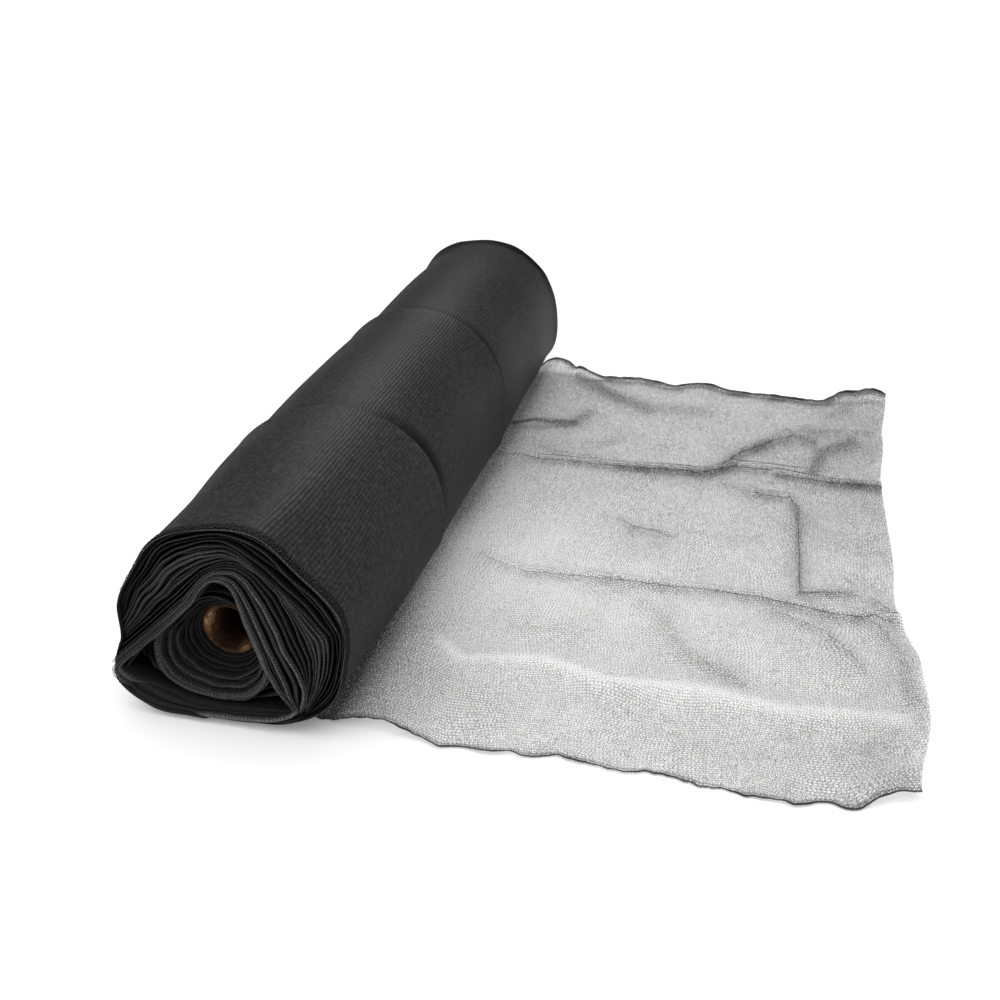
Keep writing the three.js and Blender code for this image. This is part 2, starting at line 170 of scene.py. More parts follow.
# Turns of net that show in the open end: front is how deep the edge lies, tone how pale it is, and
# arc the directions from and to which it stays that pale; elsewhere it goes dark and sinks by sink
ALL_ROUND = (0, 360)
LEGS = (-34, 208)
UNDER = (205, 322)
OVAL = (172, 348)
OPEN_END_TURNS = table("outer inner share front thick sway tone arc sink", [
    ("rim", "bundle", 0.04, -1, 1.5, 0.5, 0.56, (-50, 205), 0),
    ("rim", "bundle", 0.24, 6, 2.0, 0.9, 0.24, ALL_ROUND, 0),
    ("rim", "bundle", 0.44, 5, 2.0, 1.1, 0.36, ALL_ROUND, 0),
    ("rim", "bundle", 0.64, 8, 1.8, 1.1, 0.2, ALL_ROUND, 0),
    ("rim", "bundle", 0.83, 5, 2.0, 0.9, 0.32, ALL_ROUND, 0),
    ("bundle", "leg_out", 0.0, 3, 2.0, 0.9, 0.42, LEGS, 12),
    ("bundle", "leg_out", 0.1, 5, 1.8, 0.9, 0.28, LEGS, 12),
    ("bundle", "leg_out", 0.2, 2, 2.8, 1.0, 0.46, LEGS, 12),
    ("bundle", "leg_out", 0.3, 4, 2.0, 1.0, 0.34, LEGS, 12),
    ("bundle", "leg_out", 0.4, 1, 3.0, 1.0, 0.48, LEGS, 12),
    ("bundle", "leg_out", 0.5, 6, 1.8, 1.0, 0.22, LEGS, 12),
    ("bundle", "leg_out", 0.6, 2, 2.6, 1.0, 0.44, LEGS, 12),
    ("bundle", "leg_out", 0.7, 4, 2.0, 1.0, 0.32, LEGS, 12),
    ("bundle", "leg_out", 0.8, 3, 2.6, 0.9, 0.4, LEGS, 12),
    ("bundle", "leg_out", 0.92, 9, 1.8, 0.5, 0.14, LEGS, 12),
    ("leg_out", "leg_mid", 0.02, 2, 2.4, 0.4, 0.4, LEGS, 12),
    ("leg_out", "leg_mid", 0.35, 1, 3.0, 0.4, 0.26, LEGS, 12),
    ("leg_out", "leg_mid", 0.68, 0, 3.4, 0.4, 0.34, LEGS, 12),
    ("leg_mid", "leg_in", 0.0, -5, 2.8, 0.3, 0.66, LEGS, 12),
    ("leg_mid", "leg_in", 0.3, -2, 4.4, 0.3, 0.36, LEGS, 12),
    ("leg_mid", "leg_in", 0.58, -5.5, 2.8, 0.3, 0.66, LEGS, 12),
    ("leg_mid", "leg_in", 0.76, -3, 3.0, 0.3, 0.3, LEGS, 12),
    ("leg_mid", "leg_in", 0.93, -7, 5.0, 0.4, 0.6, LEGS, 12),
    ("lip", "leg_in", 0.0, -4, 7, 0.3, 0.8, (256, 330), 3),
    ("rim", "leg_in", 0.05, -3, 4, 0.4, 0.22, (196, 262), 30),
    ("rim", "leg_in", 0.2, -1, 6, 0.5, 0.12, UNDER, 30),
    ("rim", "leg_in", 0.45, 1, 6, 0.6, 0.1, UNDER, 30),
    ("rim", "leg_in", 0.72, 0, 6, 0.6, 0.12, UNDER, 30),
    ("leg_in", "oval", 0.2, 22, 1.8, 0.6, 0.2, ALL_ROUND, 0),
    ("leg_in", "oval", 0.42, 15, 2.2, 0.7, 0.42, UNDER, 14),
    ("leg_in", "oval", 0.66, 22, 2.0, 0.8, 0.26, ALL_ROUND, 0),
    ("leg_in", "oval", 0.84, 24, 1.8, 0.6, 0.14, ALL_ROUND, 0),
    ("oval", "bore", -0.06, 9, 3.0, 0.6, 0.45, OVAL, 14),
    ("oval", "bore", 0.02, 7, 3.6, 0.6, 0.54, OVAL, 14),
    ("oval", "bore", 0.1, 8, 3.0, 0.7, 0.45, OVAL, 14),
    ("oval", "bore", 0.2, 15, 2.2, 0.8, 0.28, ALL_ROUND, 0),
    ("oval", "bore", 0.29, 13, 2.6, 0.8, 0.44, OVAL, 10),
    ("oval", "bore", 0.39, 19, 2.0, 0.8, 0.24, ALL_ROUND, 0),
    ("oval", "bore", 0.48, 18, 2.4, 0.8, 0.36, OVAL, 8),
    ("oval", "bore", 0.6, 25, 1.8, 0.6, 0.14, ALL_ROUND, 0),
    ("oval", "bore", 0.72, 27, 1.8, 0.5, 0.22, OVAL, 4),
    ("oval", "bore", 0.83, 31, 1.8, 0.3, 0.06, ALL_ROUND, 0),
    ("oval", "bore", 0.92, 32, 1.8, 0.2, 0.14, ALL_ROUND, 0),
])
FAR_TURNS = dict(count=15, first=0.02, last=0.93, inset=8.0, thick=2.0, sway=0.6)
FAR_TURN_SEED = 100
# A turn's edge in section: across and behind its front, and how much of its tone is left there, as painted
# shade deepening into the gap behind it
TURN_LENGTH = 26
TURN_SECTION = table("across behind tone", [
    (1, 0.5, 0.75), (1, 4, 0.4), (1, TURN_LENGTH, 0.1), (-1, TURN_LENGTH, 0.1), (-1, 4, 0.4),
    (-1, 0.5, 0.75), (-0.4, 0.0, 1.0), (0.4, 0.0, 1.0),
])
TURN_TUCK = 0.16
SIDE_WAVES = (3, 5, 8, 13)
DEPTH_WAVES = (2, 5, 9, 14)
DEPTH_SEED = 500
DEPTH_SWAY = 1.6
# Past its arc a turn darkens over some degrees, and a turn that the rim covers sinks out of sight; all turns
# carry painted shade on one side of the open end
ARC_END = dict(dark=0.8, before=4, after=10)
PAINTED_SHADE_SIDE = dict(direction=160, spread=35, dark=0.3)
COVERED_SINK = 14
COVERED_OVER = 2.0
RIM_TURN = 0.12
# Turns squeeze together where their lines come closer than easy room, and stay inside the skin
EASY_ROOM = 25
LEAST_SWAY = 0.25
LEAST_THICK = 0.5
BELOW_RIM = 0.2
BELOW_SKIN = 0.4
ABOVE_FLOOR = 0.3

# The tube's worn cut ends, and the light and shade painted inside its near end
TUBE_POINTS = 96
TUBE_WORN = 0.7
TUBE_WEAR = dict(height=0.25, seed=71, waves=(3, 7, 11))
TUBE_SHADE = 0.12
TUBE_LIGHT = table("direction spread light", [(165, 36, 1.2), (300, 20, 0.75)])

# The loose end's three free edges
NEAR_EDGE = table("x y", [
    (34, 24), (130, 25), (200, 12), (290, 20), (350, 13), (390, 17), (480, 6), (540, 13), (605, 37),
])
FAR_EDGE = table("x y", [
    (34, 999), (105, 1007), (183, 985), (242, 988), (302, 973), (350, 992), (404, 970), (474, 963),
    (525, 955), (580, 980), (632, 990),
])
OUTER_EDGE = table("y x", [
    (0, 602), (130, 621), (220, 619), (328, 604), (470, 609), (660, 608), (830, 620), (1000, 633),
])
# The loose end's creases: two ends with a height at each; dark is how much closer the yarns crowd within
# spread of the crease, partly as painted shade (less than none where they are pulled apart), sharp is a
# creased top, not a round one
FOLDS = table("x0 y0 h0 x1 y1 h1 width sharp dark spread", [
    (118, 0, 9, 124, 330, 7, 55, 0, 0.0, 10),
    (124, 330, 7, 118, 700, 9, 55, 0, 0.0, 10),
    (118, 700, 9, 112, 1035, 20, 52, 0, 0.1, 22),
    (95, 647, 8, 263, 653, 8, 26, 1, 0.75, 4),
    (263, 653, 8, 372, 655, 9, 26, 1, 1.2, 5.5),
    (372, 655, 9, 417, 687, 10, 28, 1, 1.2, 6),
    (417, 687, 10, 520, 682, 9, 28, 1, 0.75, 4),
    (471, 672, 9, 543, 660, 8, 26, 1, 0.8, 4),
    (543, 660, 8, 612, 665, 7, 26, 1, 1.2, 5),
    (397, 671, 9, 422, 732, 10, 30, 1, 1.0, 6),
    (422, 732, 10, 469, 790, 10, 30, 1, 0.9, 7),
    (469, 790, 10, 490, 806, 11, 32, 1, 0.8, 8),
    (490, 806, 11, 525, 792, 9, 32, 0, 0.5, 7),
    (504, 825, 9, 600, 850, 5, 32, 0, 0.25, 9),
    (520, 683, 8, 531, 754, 9, 28, 0, 0.42, 7),
    (531, 754, 9, 577, 812, 7, 28, 0, 0.45, 9),
    (548, 899, 5, 579, 948, 6, 30, 0, 0.25, 8),
    (136, 365, 7, 196, 338, 8, 26, 1, 0.45, 4),
    (196, 338, 8, 300, 342, 8, 26, 1, 0.6, 4),
    (300, 342, 8, 460, 341, 8, 26, 1, 0.75, 3.6),
    (460, 341, 8, 535, 322, 9, 28, 1, 0.85, 3.4),
    (535, 322, 9, 604, 323, 12, 28, 1, 0.9, 3.2),
    (578, 364, 5, 602, 336, 8, 26, 1, 0.6, 3.2),
    (472, 314, 8, 528, 283, 8, 30, 1, 0.5, 4.5),
    (528, 283, 8, 563, 224, 6, 30, 1, 0.42, 5),
    (574, 327, 11, 599, 259, 9, 30, 1, 0.4, 7),
    (599, 259, 9, 608, 182, 7, 30, 0, 0.25, 10),
    (333, 300, 5, 357, 275, 7, 30, 0, 0.16, 8),
    (357, 275, 7, 389, 210, 8, 30, 0, 0.22, 9),
    (389, 210, 8, 446, 170, 7, 30, 0, 0.3, 9),
    (400, 626, 6, 446, 606, 7, 25, 1, 0.4, 4.5),
    (446, 606, 7, 490, 599, 8, 25, 1, 0.65, 5),
    (490, 599, 8, 500, 565, 8, 26, 1, 0.75, 3.6),
    (500, 565, 8, 502, 359, 8, 26, 1, 0.8, 2.8),
    (502, 359, 8, 557, 372, 6, 25, 1, 0.7, 4),
    (285, 492, 5, 302, 474, 6, 28, 1, 0.45, 4.5),
    (302, 474, 6, 347, 463, 7, 28, 1, 0.65, 4.5),
    (328, 455, 5, 340, 425, 3, 28, 0, 0.1, 16),
    (152, 980, 14, 237, 903, 9, 34, 0, 0.6, 9),
    (237, 903, 9, 280, 869, 8, 32, 0, 0.42, 11),
    (280, 869, 8, 355, 885, 5, 32, 0, 0.25, 14),
    (90, 762, 11, 176, 792, 7, 32, 0, 0.8, 7),
    (176, 792, 7, 194, 835, 6, 30, 0, 0.4, 8),
    (203, 721, 4, 252, 732, 3, 26, 1, 0.35, 5),
    (143, 689, 5, 233, 667, 5, 26, 1, 0.35, 5),
    (140, 180, 5, 171, 152, 5, 38, 0, -0.35, 6),
    (171, 152, 5, 252, 168, 6, 38, 0, -0.4, 5),
    (252, 168, 6, 312, 148, 7, 38, 0, -0.5, 5),
    (312, 148, 7, 409, 151, 8, 38, 0, -0.5, 5),
    (409, 151, 8, 494, 137, 8, 38, 0, -0.5, 6),
    (494, 137, 8, 598, 150, 5, 36, 0, -0.35, 6),
    (200, 218, 2, 278, 230, 2, 30, 0, 0.1, 9),
    (574, 40, 10, 606, 68, 7, 36, 0, 0.22, 15),
    (572, 985, 12, 602, 992, 15, 48, 0, 0.2, 18),
])
CREEP = 0.9
SHEET_SLACK = 0.6
# Cut size of the loose end that shows: across the roll, and out from under it
LOOSE_WIDTH = 1000
LOOSE_LENGTH = 600
# A crease is seen below its crest, by this share of the lean that its height has from the camera
SEEN_LEAN = 0.5
# The free edges stray and curl up near the edge itself; a pair is for the near and the far selvedge
EDGE_RUN = 300
FRAY = dict(coarse=(3.0, 1.6), fine=0.8, reach=14)
CURL = dict(far=(0.0, 4.0), far_part=(0.9, 1.0), vary=2.5, reach=7)
FLAT_BY_ROLL = (60, 95)

# How much closer the yarns crowd: on a crease and around it, beside the roll, at the selvedges and in wide
# patches, where round creases, the band around each crease and the roll's side also carry painted shade;
# a change or a part is a range of places, any other pair a near and a far value
CROWD = dict(sharp=0.17, round=0.27, around=0.07, apart=0.3)
CROWD_BREAKS = dict(mean=0.75, vary=0.2)
CREASE_SHADE_REACH = dict(times=3, more=6)
ROLL_BUNCHING_AND_SHADOW = dict(side=(76, 96), side_change=(100, 600), crowd=(0.33, 0.15), reach=(30, 14), change=(120, 400))
BY_EDGE = dict(crowd=(0.25, 0.6), reach=(4.6, 9.0), least=(0.1, 0.6), mean=0.7, vary=0.6)
PATCHES = dict(vary=0.008, far=0.085, far_part=(150, 750), outer=0.03, outer_part=(380, 600),
               front=0.03, front_part=(60, 330))
THIN_PATCH = dict(x=180, y=380, width=80, length=120, thin=0.045)
SHEER_TONE = dict(plain=0.085, crowded=0.45, thinnest=-0.11)

# Fineness of the meshes
RIBS = 180
RIB_POINTS = 4
RIB_HEIGHT = 0.16
PLAIN_ROWS = 60
TURN_POINTS = 220
SHEET_STEPS = (220, 370)
WALE_POINTS = 110
CREASE_POINTS = 40
CORD_POINTS = 420
EDGE_POINTS = 800

# The knit: pillars of chain stitch run out from the roll, courses zigzag across them
WALE_PITCH = 4.6
COURSE_PITCH = 4.2
COURSE_STOP = 2
ZIGZAG = 0.24
LOWER_WALE_PITCH = 3.4
LOWER_COURSE_PITCH = 3.2
STITCH_PITCH = 3.4
NET_STRAY = 8.0
TAPE = dict(width=0.15, least=0.08, jitter=0.4, uneven=0.3, drift=0.1, thinnest=0.2, crowded=0.5)
CREASE_YARN = dict(radius=0.5, mean=0.8, vary=0.25, least=0.05, taper=0.35)
# A selvedge's cord: yarns twisted round each other, heavier along the far edge
CORD = dict(strands=3, twists=95, round=0.4, radius=0.26, vary=0.4, most=1.3, far_heavier=1.1, sides=5)
CORD_ACROSS = (0.001, 0.999)
STITCH_ACROSS = (0.004, 0.996)
# How high the loose end's layers lie over its creased shape
LAYER = dict(net=0.3, wales=1.0, courses=1.15, cords=1.0, creases=1.3, stitches=1.4)
# Stitch loops: their pitch along the chain, their own size, and how far they rock, in radians
STITCHES = dict(
    open_end_stitches=dict(pitch=2.8, length=3.4, width=2.2, radius=0.35, tilt=0.25),
    rim_stitches=dict(pitch=2.9, length=3.4, width=2.4, radius=0.4, tilt=0.5),
    loose_end_edge_stitches=dict(pitch=3.0, length=2.8, width=1.8, radius=0.16, tilt=0.25),
)
HEADING_STEP = 0.5
TILT_SEED = 7
# Turns at least this pale are stitched where the rim leaves them clear, just outside and behind the edge
STITCHED = dict(tone=0.57, covered=0.2, outside=1.0, behind=0.8, above_floor=0.8)
RIM_STITCH_ROWS = (2.2, 5.2, 8.2)
RIM_STITCH_STAND = 0.5

# What wanders, with its seed and how far apart its features lie
WANDERS = dict(
    rib_swing=(11, 90), rib_shiver=(12, 30), slack_beside=(13, 170), slack_above=(14, 170),
    loose_end_wales=(15, 60), loose_end_courses=(17, 60), sheet_slack=(21, 70), creep_x=(22, 90),
    creep_y=(23, 90), crease_breaks=(24, 26), edge_breaks=(25, 60), patches=(26, 90), crease_yarn=(27, 14),
    net_out=(31, 140), net_across=(32, 140), wales_across=(41, 140), courses_out=(42, 140), fray=(61, 45),
    curl=(62, 60), cord=(63, 45), fine_fray=(64, 16),
)
WANDER_WAVES = 7

# The photograph's camera in the roll's frame
CAMERA_AT = (426.8, -777.1, 655.3)
CAMERA_TURN = 13.13
CAMERA_DIP = 26.32
CAMERA_LENS = 41.15
CAMERA_FILM = 36
# The studio, in metres: a wide floor just under the net, a pale surround that shines less in reflections,
# and lamps, of which only the sun lights what isn't shiny
FLOOR_HALF = 40.0
FLOOR_DROP = 0.0006
SURROUND = 0.42
SURROUND_REFLECTED = -0.36
LAMPS = [
    dict(name="over", kind="SUN", at=(-0.2, -0.7, 3.0), aim=(0, 0, 0), size=1.5, power=2.5),
    dict(name="sheen", kind="AREA", at=(-0.4, 1.4, 1.5), aim=(-0.25, 0, 0.2), size=0.5, power=25),
]

tube_low, tube_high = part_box("core_tube")
ORIGIN = np.array([
    (tube_low[0] + tube_high[0]) / 2 - TUBE_X * MM,
    tube_low[1] - TUBE_NEAR_RECESS * MM,
    0.0,
])


def place(points):
    """Millimetres in the roll's frame to metres in the part's frame."""
    return np.asarray(points, dtype=float) * MM + ORIGIN


def blend(a, b, share):
    return a + (b - a) * share


def ease(value, low, high):
    share = np.clip((value - low) / (high - low), 0, 1)
    return share * share * (3 - 2 * share)


def column(rows, key, at, name):
    """A column of a table between its rows, eased from row to row."""
    keys = np.array([row[key] for row in rows], dtype=float)
    values = np.array([row[name] for row in rows], dtype=float)
    upper = np.clip(np.searchsorted(keys, at), 1, len(keys) - 1)
    return blend(values[upper - 1], values[upper], ease(at, keys[upper - 1], keys[upper]))


def directions(count):
    """Even directions once round the roll."""
    return 360 * np.arange(count) / count


def turned_from(direction, middle):
    """Degrees from one direction to another, the shorter way round."""
    return (direction - middle + 180) % 360 - 180


def bell(direction, middle, spread):
    """1 in one direction, falling smoothly to 0 on both sides of it."""
    return np.exp(-((turned_from(direction, middle) / spread) ** 2))


def bell_of(row, direction):
    return bell(direction, row["direction"], row["spread"])


def ripple(direction, seed, orders):
    """A smooth closed wave of about unit height round the roll."""
    draw = np.random.default_rng(seed)
    total = 0
    for order in orders:
        strength, start = draw.uniform(0.5, 1), draw.uniform(0, 2 * math.pi)
        total = total + strength * np.sin(order * np.radians(direction) + start)
    return total / math.sqrt(len(orders))


def drift(x, y, thing):
    """Smooth wandering of about unit height over a surface, for one of the things in WANDERS."""
    seed, reach = WANDERS[thing]
    draw = np.random.default_rng(seed)
    total = 0
    for _ in range(WANDER_WAVES):
        heading, start = draw.uniform(0, 2 * math.pi, 2)
        length = reach * draw.uniform(0.7, 1.6)
        along = (x * math.cos(heading) + y * math.sin(heading)) / length
        total = total + np.sin(2 * math.pi * along + start)
    return total / math.sqrt(WANDER_WAVES)


def towards(x, z, direction, reach):
    angle = np.radians(direction)
    return x + reach * np.cos(angle), z + reach * np.sin(angle)


def from_tube(direction, reach):
    return towards(TUBE_X, TUBE_HEIGHT, direction, reach)


def line_reach(places):
    """A closed line through places in the open end, as distances from the tube's axis, slightly rounded."""
    x = np.array([spot["x"] for spot in places], dtype=float)
    z = np.array([spot["z"] for spot in places], dtype=float)
    share = np.linspace(0, 1, LINE_STEPS, endpoint=False)
    x = blend(x[:, None], np.roll(x, -1)[:, None], share).ravel() - TUBE_X
    z = blend(z[:, None], np.roll(z, -1)[:, None], share).ravel() - TUBE_HEIGHT
    around = np.degrees(np.arctan2(z, x)) % 360
    order = np.argsort(around)
    grid = directions(HALF_DEGREES)
    reach = np.interp(grid, around[order], np.hypot(x, z)[order], period=360)
    weight = bell(grid[:, None], grid[None, :], LEG_ROUNDING)
    return grid, weight @ reach / weight.sum(axis=1)


LINES = {"bundle": line_reach(BUNDLE), "leg_out": line_reach(LEG_OUT), "leg_mid": line_reach(LEG_MID),
         "leg_in": line_reach(LEG_IN), "lip": line_reach(LIP)}


def open_end_reach(name, direction):
    """A distance of the open end in any direction, on a smooth closed curve through the table."""
    if name == "bore":
        return np.full_like(direction, TUBE_OUTER / 2 + FIT_GAP, dtype=float)
    if name in LINES:
        return np.interp(direction, *LINES[name], period=360)
    values = np.array([row[name] for row in OPEN_END], dtype=float)
    spot = direction / 360 * len(values)
    row = np.floor(spot).astype(int)
    t = spot - row
    a, b, c, d = (values[(row + step) % len(values)] for step in (-1, 0, 1, 2))
    bend = 2 * a - 5 * b + 4 * c - d
    return b + 0.5 * t * (c - a + t * (bend + t * (3 * b - a - 3 * c + d)))


def open_end_ring(outer, inner, share, direction, depth=0):
    """A ring between two lines of the open end, inside the rim and further in where it lies deeper."""
    reach = blend(open_end_reach(outer, direction), open_end_reach(inner, direction), share)
    reach = np.minimum(reach, open_end_reach("rim", direction) - RIM_WALL - WALL_LEAN * depth)
    return from_tube(direction, reach)


def bore_ring(y, direction):
    x, z = open_end_ring("bore", "bore", 0, direction)
    return stack(x, y, z)


def ridge_place(ridge, direction):
    return ridge["y"] + ridge["swing"] * np.cos(np.radians(direction - ridge["furthest"]))


def slack_and_painted_shade(ridge, direction):
    """How slack the net lies behind a ridge, and how much shade is painted there, from 0 to 1."""
    return sum(hollow["dark"] * bell_of(hollow, direction) for hollow in ridge["hollows"])


def ridge_lift(direction, y):
    """How far the net stands out of the round body because of the ridges."""
    lift = 0
    for ridge in RIDGES:
        past = y - ridge_place(ridge, direction)
        before = ridge["rise"] * np.exp(np.minimum(past, 0) / ridge["rise_over"])
        drop = ridge["drop"] * (1 + HOLLOW_DEPTH * slack_and_painted_shade(ridge, direction))
        after = drop * np.exp(-np.maximum(past, 0) / ridge["drop_over"])
        lift = lift + blend(before, after, ease(past, -RIDGE_EDGE / 2, RIDGE_EDGE / 2))
    return lift


def far_selvedge(direction, y):
    """1 on the far selvedge and 0 off it; it is wider on the left and fades out low on the right."""
    width = blend(FAR_SELVEDGE_WIDTH["right"], FAR_SELVEDGE_WIDTH["left"],
                  ease(direction, *FAR_SELVEDGE_WIDTH["change"]))
    top = FAR_SELVEDGE["strength"] * bell_of(FAR_SELVEDGE, direction)
    left = ease(direction, *FAR_SELVEDGE["left"]) * (1 - ease(direction, *FAR_SELVEDGE["under"]))
    inner = ROLL_LENGTH - width
    along = ease(y, inner - FAR_SELVEDGE_WIDTH["soft_before"], inner + FAR_SELVEDGE_WIDTH["soft_after"])
    return along * np.minimum(np.maximum(top, left), 1)


def skin_tone(direction, y):
    """How pale the net is painted: 1 on the plain roll, with painted shade behind a ridge and a painted
    highlight on its crest, painted shade on the low side, and darker on the selvedges.
    """
    tone = 1.0
    for ridge in RIDGES:
        past = y - ridge_place(ridge, direction)
        # Painted shade in the hollow behind each ridge, and a painted highlight on its crest
        dark = slack_and_painted_shade(ridge, direction)
        over = ease(past, *CREST)
        behind = over * (1 - ease(past, HOLLOW_LENGTH, HOLLOW_END))
        crest = np.exp(np.minimum(past - CREST[0], 0) / CREST_FADE) * (1 - over)
        tone = tone * (1 - np.minimum(dark, HOLLOW_PAINTED_SHADE) * behind) + CREST_PAINTED_HIGHLIGHT * dark * crest
    near = bell_of(NEAR_SELVEDGE, direction) * (1 - ease(y, *NEAR_SELVEDGE["within"]))
    far = far_selvedge(direction, y)
    # Painted shade on the roll's low side beside the loose end
    painted_low_shade = LOW_SIDE_PAINTED_SHADE["dark"] * bell_of(LOW_SIDE_PAINTED_SHADE, direction)
    return tone * (1 - NEAR_SELVEDGE["dark"] * near) * (1 - FAR_SELVEDGE["dark"] * far) * (1 - painted_low_shade)


def body_section(y):
    """Radius and centre of the wound body at places along the roll."""
    return (column(BODY, "y", y, name) for name in ("radius", "x", "height"))


def roll_section(direction, y, extra=0.0):
    """The roll's outside in one section, with extra standing out of it; flat where it meets the floor."""
    radius, x, height = body_section(y)
    reach = radius + SHOULDER["rise"] * bell_of(SHOULDER, direction)
    flare = FAR_FLARE["rise"] * bell_of(FAR_FLARE, direction)
    reach = reach + flare * ease(y, FAR_FLARE["start"], FAR_FLARE["full"])
    bare = towards(x, height, direction, reach)
    lift = ridge_lift(direction, y) * ease(bare[1], *RIDGE_FADE)
    body = towards(x, height, direction, reach + lift + extra)
    end = from_tube(direction, open_end_reach("rim", direction) + extra)
    share = ease(y, 0, OPEN_END_LENGTH)
    return blend(end[0], body[0], share), np.maximum(blend(end[1], body[1], share), 0)


def skin_reach(direction, y):
    """Distance of the roll's outside from the tube's axis, at depths inside the roll."""
    x, z = roll_section(direction, np.maximum(y, 0))
    turned = np.degrees(np.arctan2(z - TUBE_HEIGHT, x - TUBE_X))
    return np.interp(direction, turned, np.hypot(x - TUBE_X, z - TUBE_HEIGHT), period=360)


def stack(x, y, z):
    return np.stack(np.broadcast_arrays(x, y, z), axis=-1).astype(float)


def loft(rows, around=False, along=False):
    """A skin through equal rows of points: around closes every row, along joins the last to the first."""
    grid = np.array(rows)
    count, width = grid.shape[:2]
    row, spot = np.meshgrid(
        np.arange(count if along else count - 1), np.arange(width if around else width - 1), indexing="ij")
    next_row = (row + 1) % count
    next_spot = (spot + 1) % width
    corners = ((row, spot), (next_row, spot), (next_row, next_spot), (row, next_spot))
    faces = np.stack([r * width + c for r, c in corners], axis=-1)
    return grid.reshape(-1, 3), faces.reshape(-1, 4)


def grid_uv(u, v):
    """Corner coordinates for a loft's faces from a value for each line of the grid, unbroken at its seam."""
    first, second = np.meshgrid(np.arange(len(v) - 1), np.arange(len(u) - 1), indexing="ij")
    corners = ((first, second), (first + 1, second), (first + 1, second + 1), (first, second + 1))
    return np.stack([np.stack([u[c], v[r]], axis=-1) for r, c in corners], axis=-2).reshape(-1, 2)


def fill(layer, key, values, kind=np.float32):
    layer.foreach_set(key, np.ascontiguousarray(values, dtype=kind).ravel())


def stand(name, data):
    """A new object in the scene, at the origin."""
    piece = bpy.data.objects.new(name, data)
    bpy.context.scene.collection.objects.link(piece)
    return piece


def mesh_piece(name, points, faces, material, uv=None, tone=None):
    """A new object from points in metres and faces with the same number of corners."""
    mesh = bpy.data.meshes.new(name)
    mesh.vertices.add(len(points))
    fill(mesh.vertices, "co", points)
    mesh.loops.add(faces.size)
    fill(mesh.loops, "vertex_index", faces, np.int32)
    mesh.polygons.add(len(faces))
    fill(mesh.polygons, "loop_start", np.arange(0, faces.size, faces.shape[1]), np.int32)
    mesh.update(calc_edges=True)
    fill(mesh.polygons, "use_smooth", np.ones(len(faces)), bool)
    if uv is not None:
        fill(mesh.uv_layers.new(name="UVMap").data, "uv", uv)
    if tone is not None:
        fill(mesh.attributes.new("tone", "FLOAT", "POINT").data, "value", tone)
    mesh.validate()
    mesh.materials.append(material)
    return stand(name, mesh)


def across_and_over(paths):
    """Level and upward directions square to each path."""
    heading = np.gradient(paths, axis=1)
    heading /= np.linalg.norm(heading, axis=-1, keepdims=True)
    side = np.cross(heading, [0.0, 0.0, 1.0])
    side /= np.linalg.norm(side, axis=-1, keepdims=True)
    return side, np.cross(side, heading)


def yarn_tubes(paths, radius, sides=3):
    """Closed thin tubes along paths, an array of yarns of equally many points, in millimetres."""
    yarns, steps = paths.shape[:2]
    side, over = across_and_over(paths)
    angles = 2 * math.pi * np.arange(sides) / sides + math.pi / 2
    ring = side[:, :, None] * np.cos(angles)[:, None] + over[:, :, None] * np.sin(angles)[:, None]
    points = paths[:, :, None] + radius[:, :, None, None] * ring
    base = (np.arange(yarns) * steps * sides)[:, None, None]
    step = (np.arange(steps - 1) * sides)[None, :, None]
    here = np.arange(sides)[None, None, :]
    there = (here + 1) % sides
    a, b = base + step + here, base + step + sides + here
    c, d = base + step + sides + there, base + step + there
    walls = np.concatenate([np.stack([a, b, c], -1).reshape(-1, 3), np.stack([a, c, d], -1).reshape(-1, 3)])
    fan = np.stack([np.zeros(sides - 2, int), np.arange(1, sides - 1), np.arange(2, sides)], -1)
    starts = (base + fan).reshape(-1, 3)
    ends = (base + (steps - 1) * sides + fan[:, ::-1]).reshape(-1, 3)
    return points.reshape(-1, 3), np.concatenate([walls, starts, ends])


def yarn_tapes(paths, width):
    """Flat tape yarns along paths, as wide at each point as width says."""
    yarns, steps = paths.shape[:2]
    side = across_and_over(paths)[0] * width[..., None] / 2
    points = np.stack([paths + side, paths - side], axis=2)
    first = (np.arange(yarns)[:, None] * steps + np.arange(steps - 1)) * 2
    faces = np.stack([first, first + 2, first + 3, first + 1], axis=-1)
    return points.reshape(-1, 3), faces.reshape(-1, 4)


class Value:
    """A number that changes over a surface: Python arithmetic on it adds Math nodes."""

    def __init__(self, finish, socket):
        self.finish = finish
        self.socket = socket

    def math(self, operation, *others):
        return self.finish.math(operation, self, *others)

    def __add__(self, other):
        return self.math("ADD", other)

    def __sub__(self, other):
        return self.math("SUBTRACT", other)

    def __mul__(self, other):
        return self.math("MULTIPLY", other)

    def __rsub__(self, other):
        return self.finish.math("SUBTRACT", other, self)

    def __lt__(self, other):
        return self.math("LESS_THAN", other)

    __radd__ = __add__
    __rmul__ = __mul__

    def wave(self):
        """From 0 to 1 and back once for each whole number."""
        return (self * (2 * math.pi)).math("COSINE") * -0.5 + 0.5

    def near_line(self):
        """0 on each half number, 1 on each whole one."""
        return (self.math("FRACT") - 0.5).math("ABSOLUTE") * 2.0


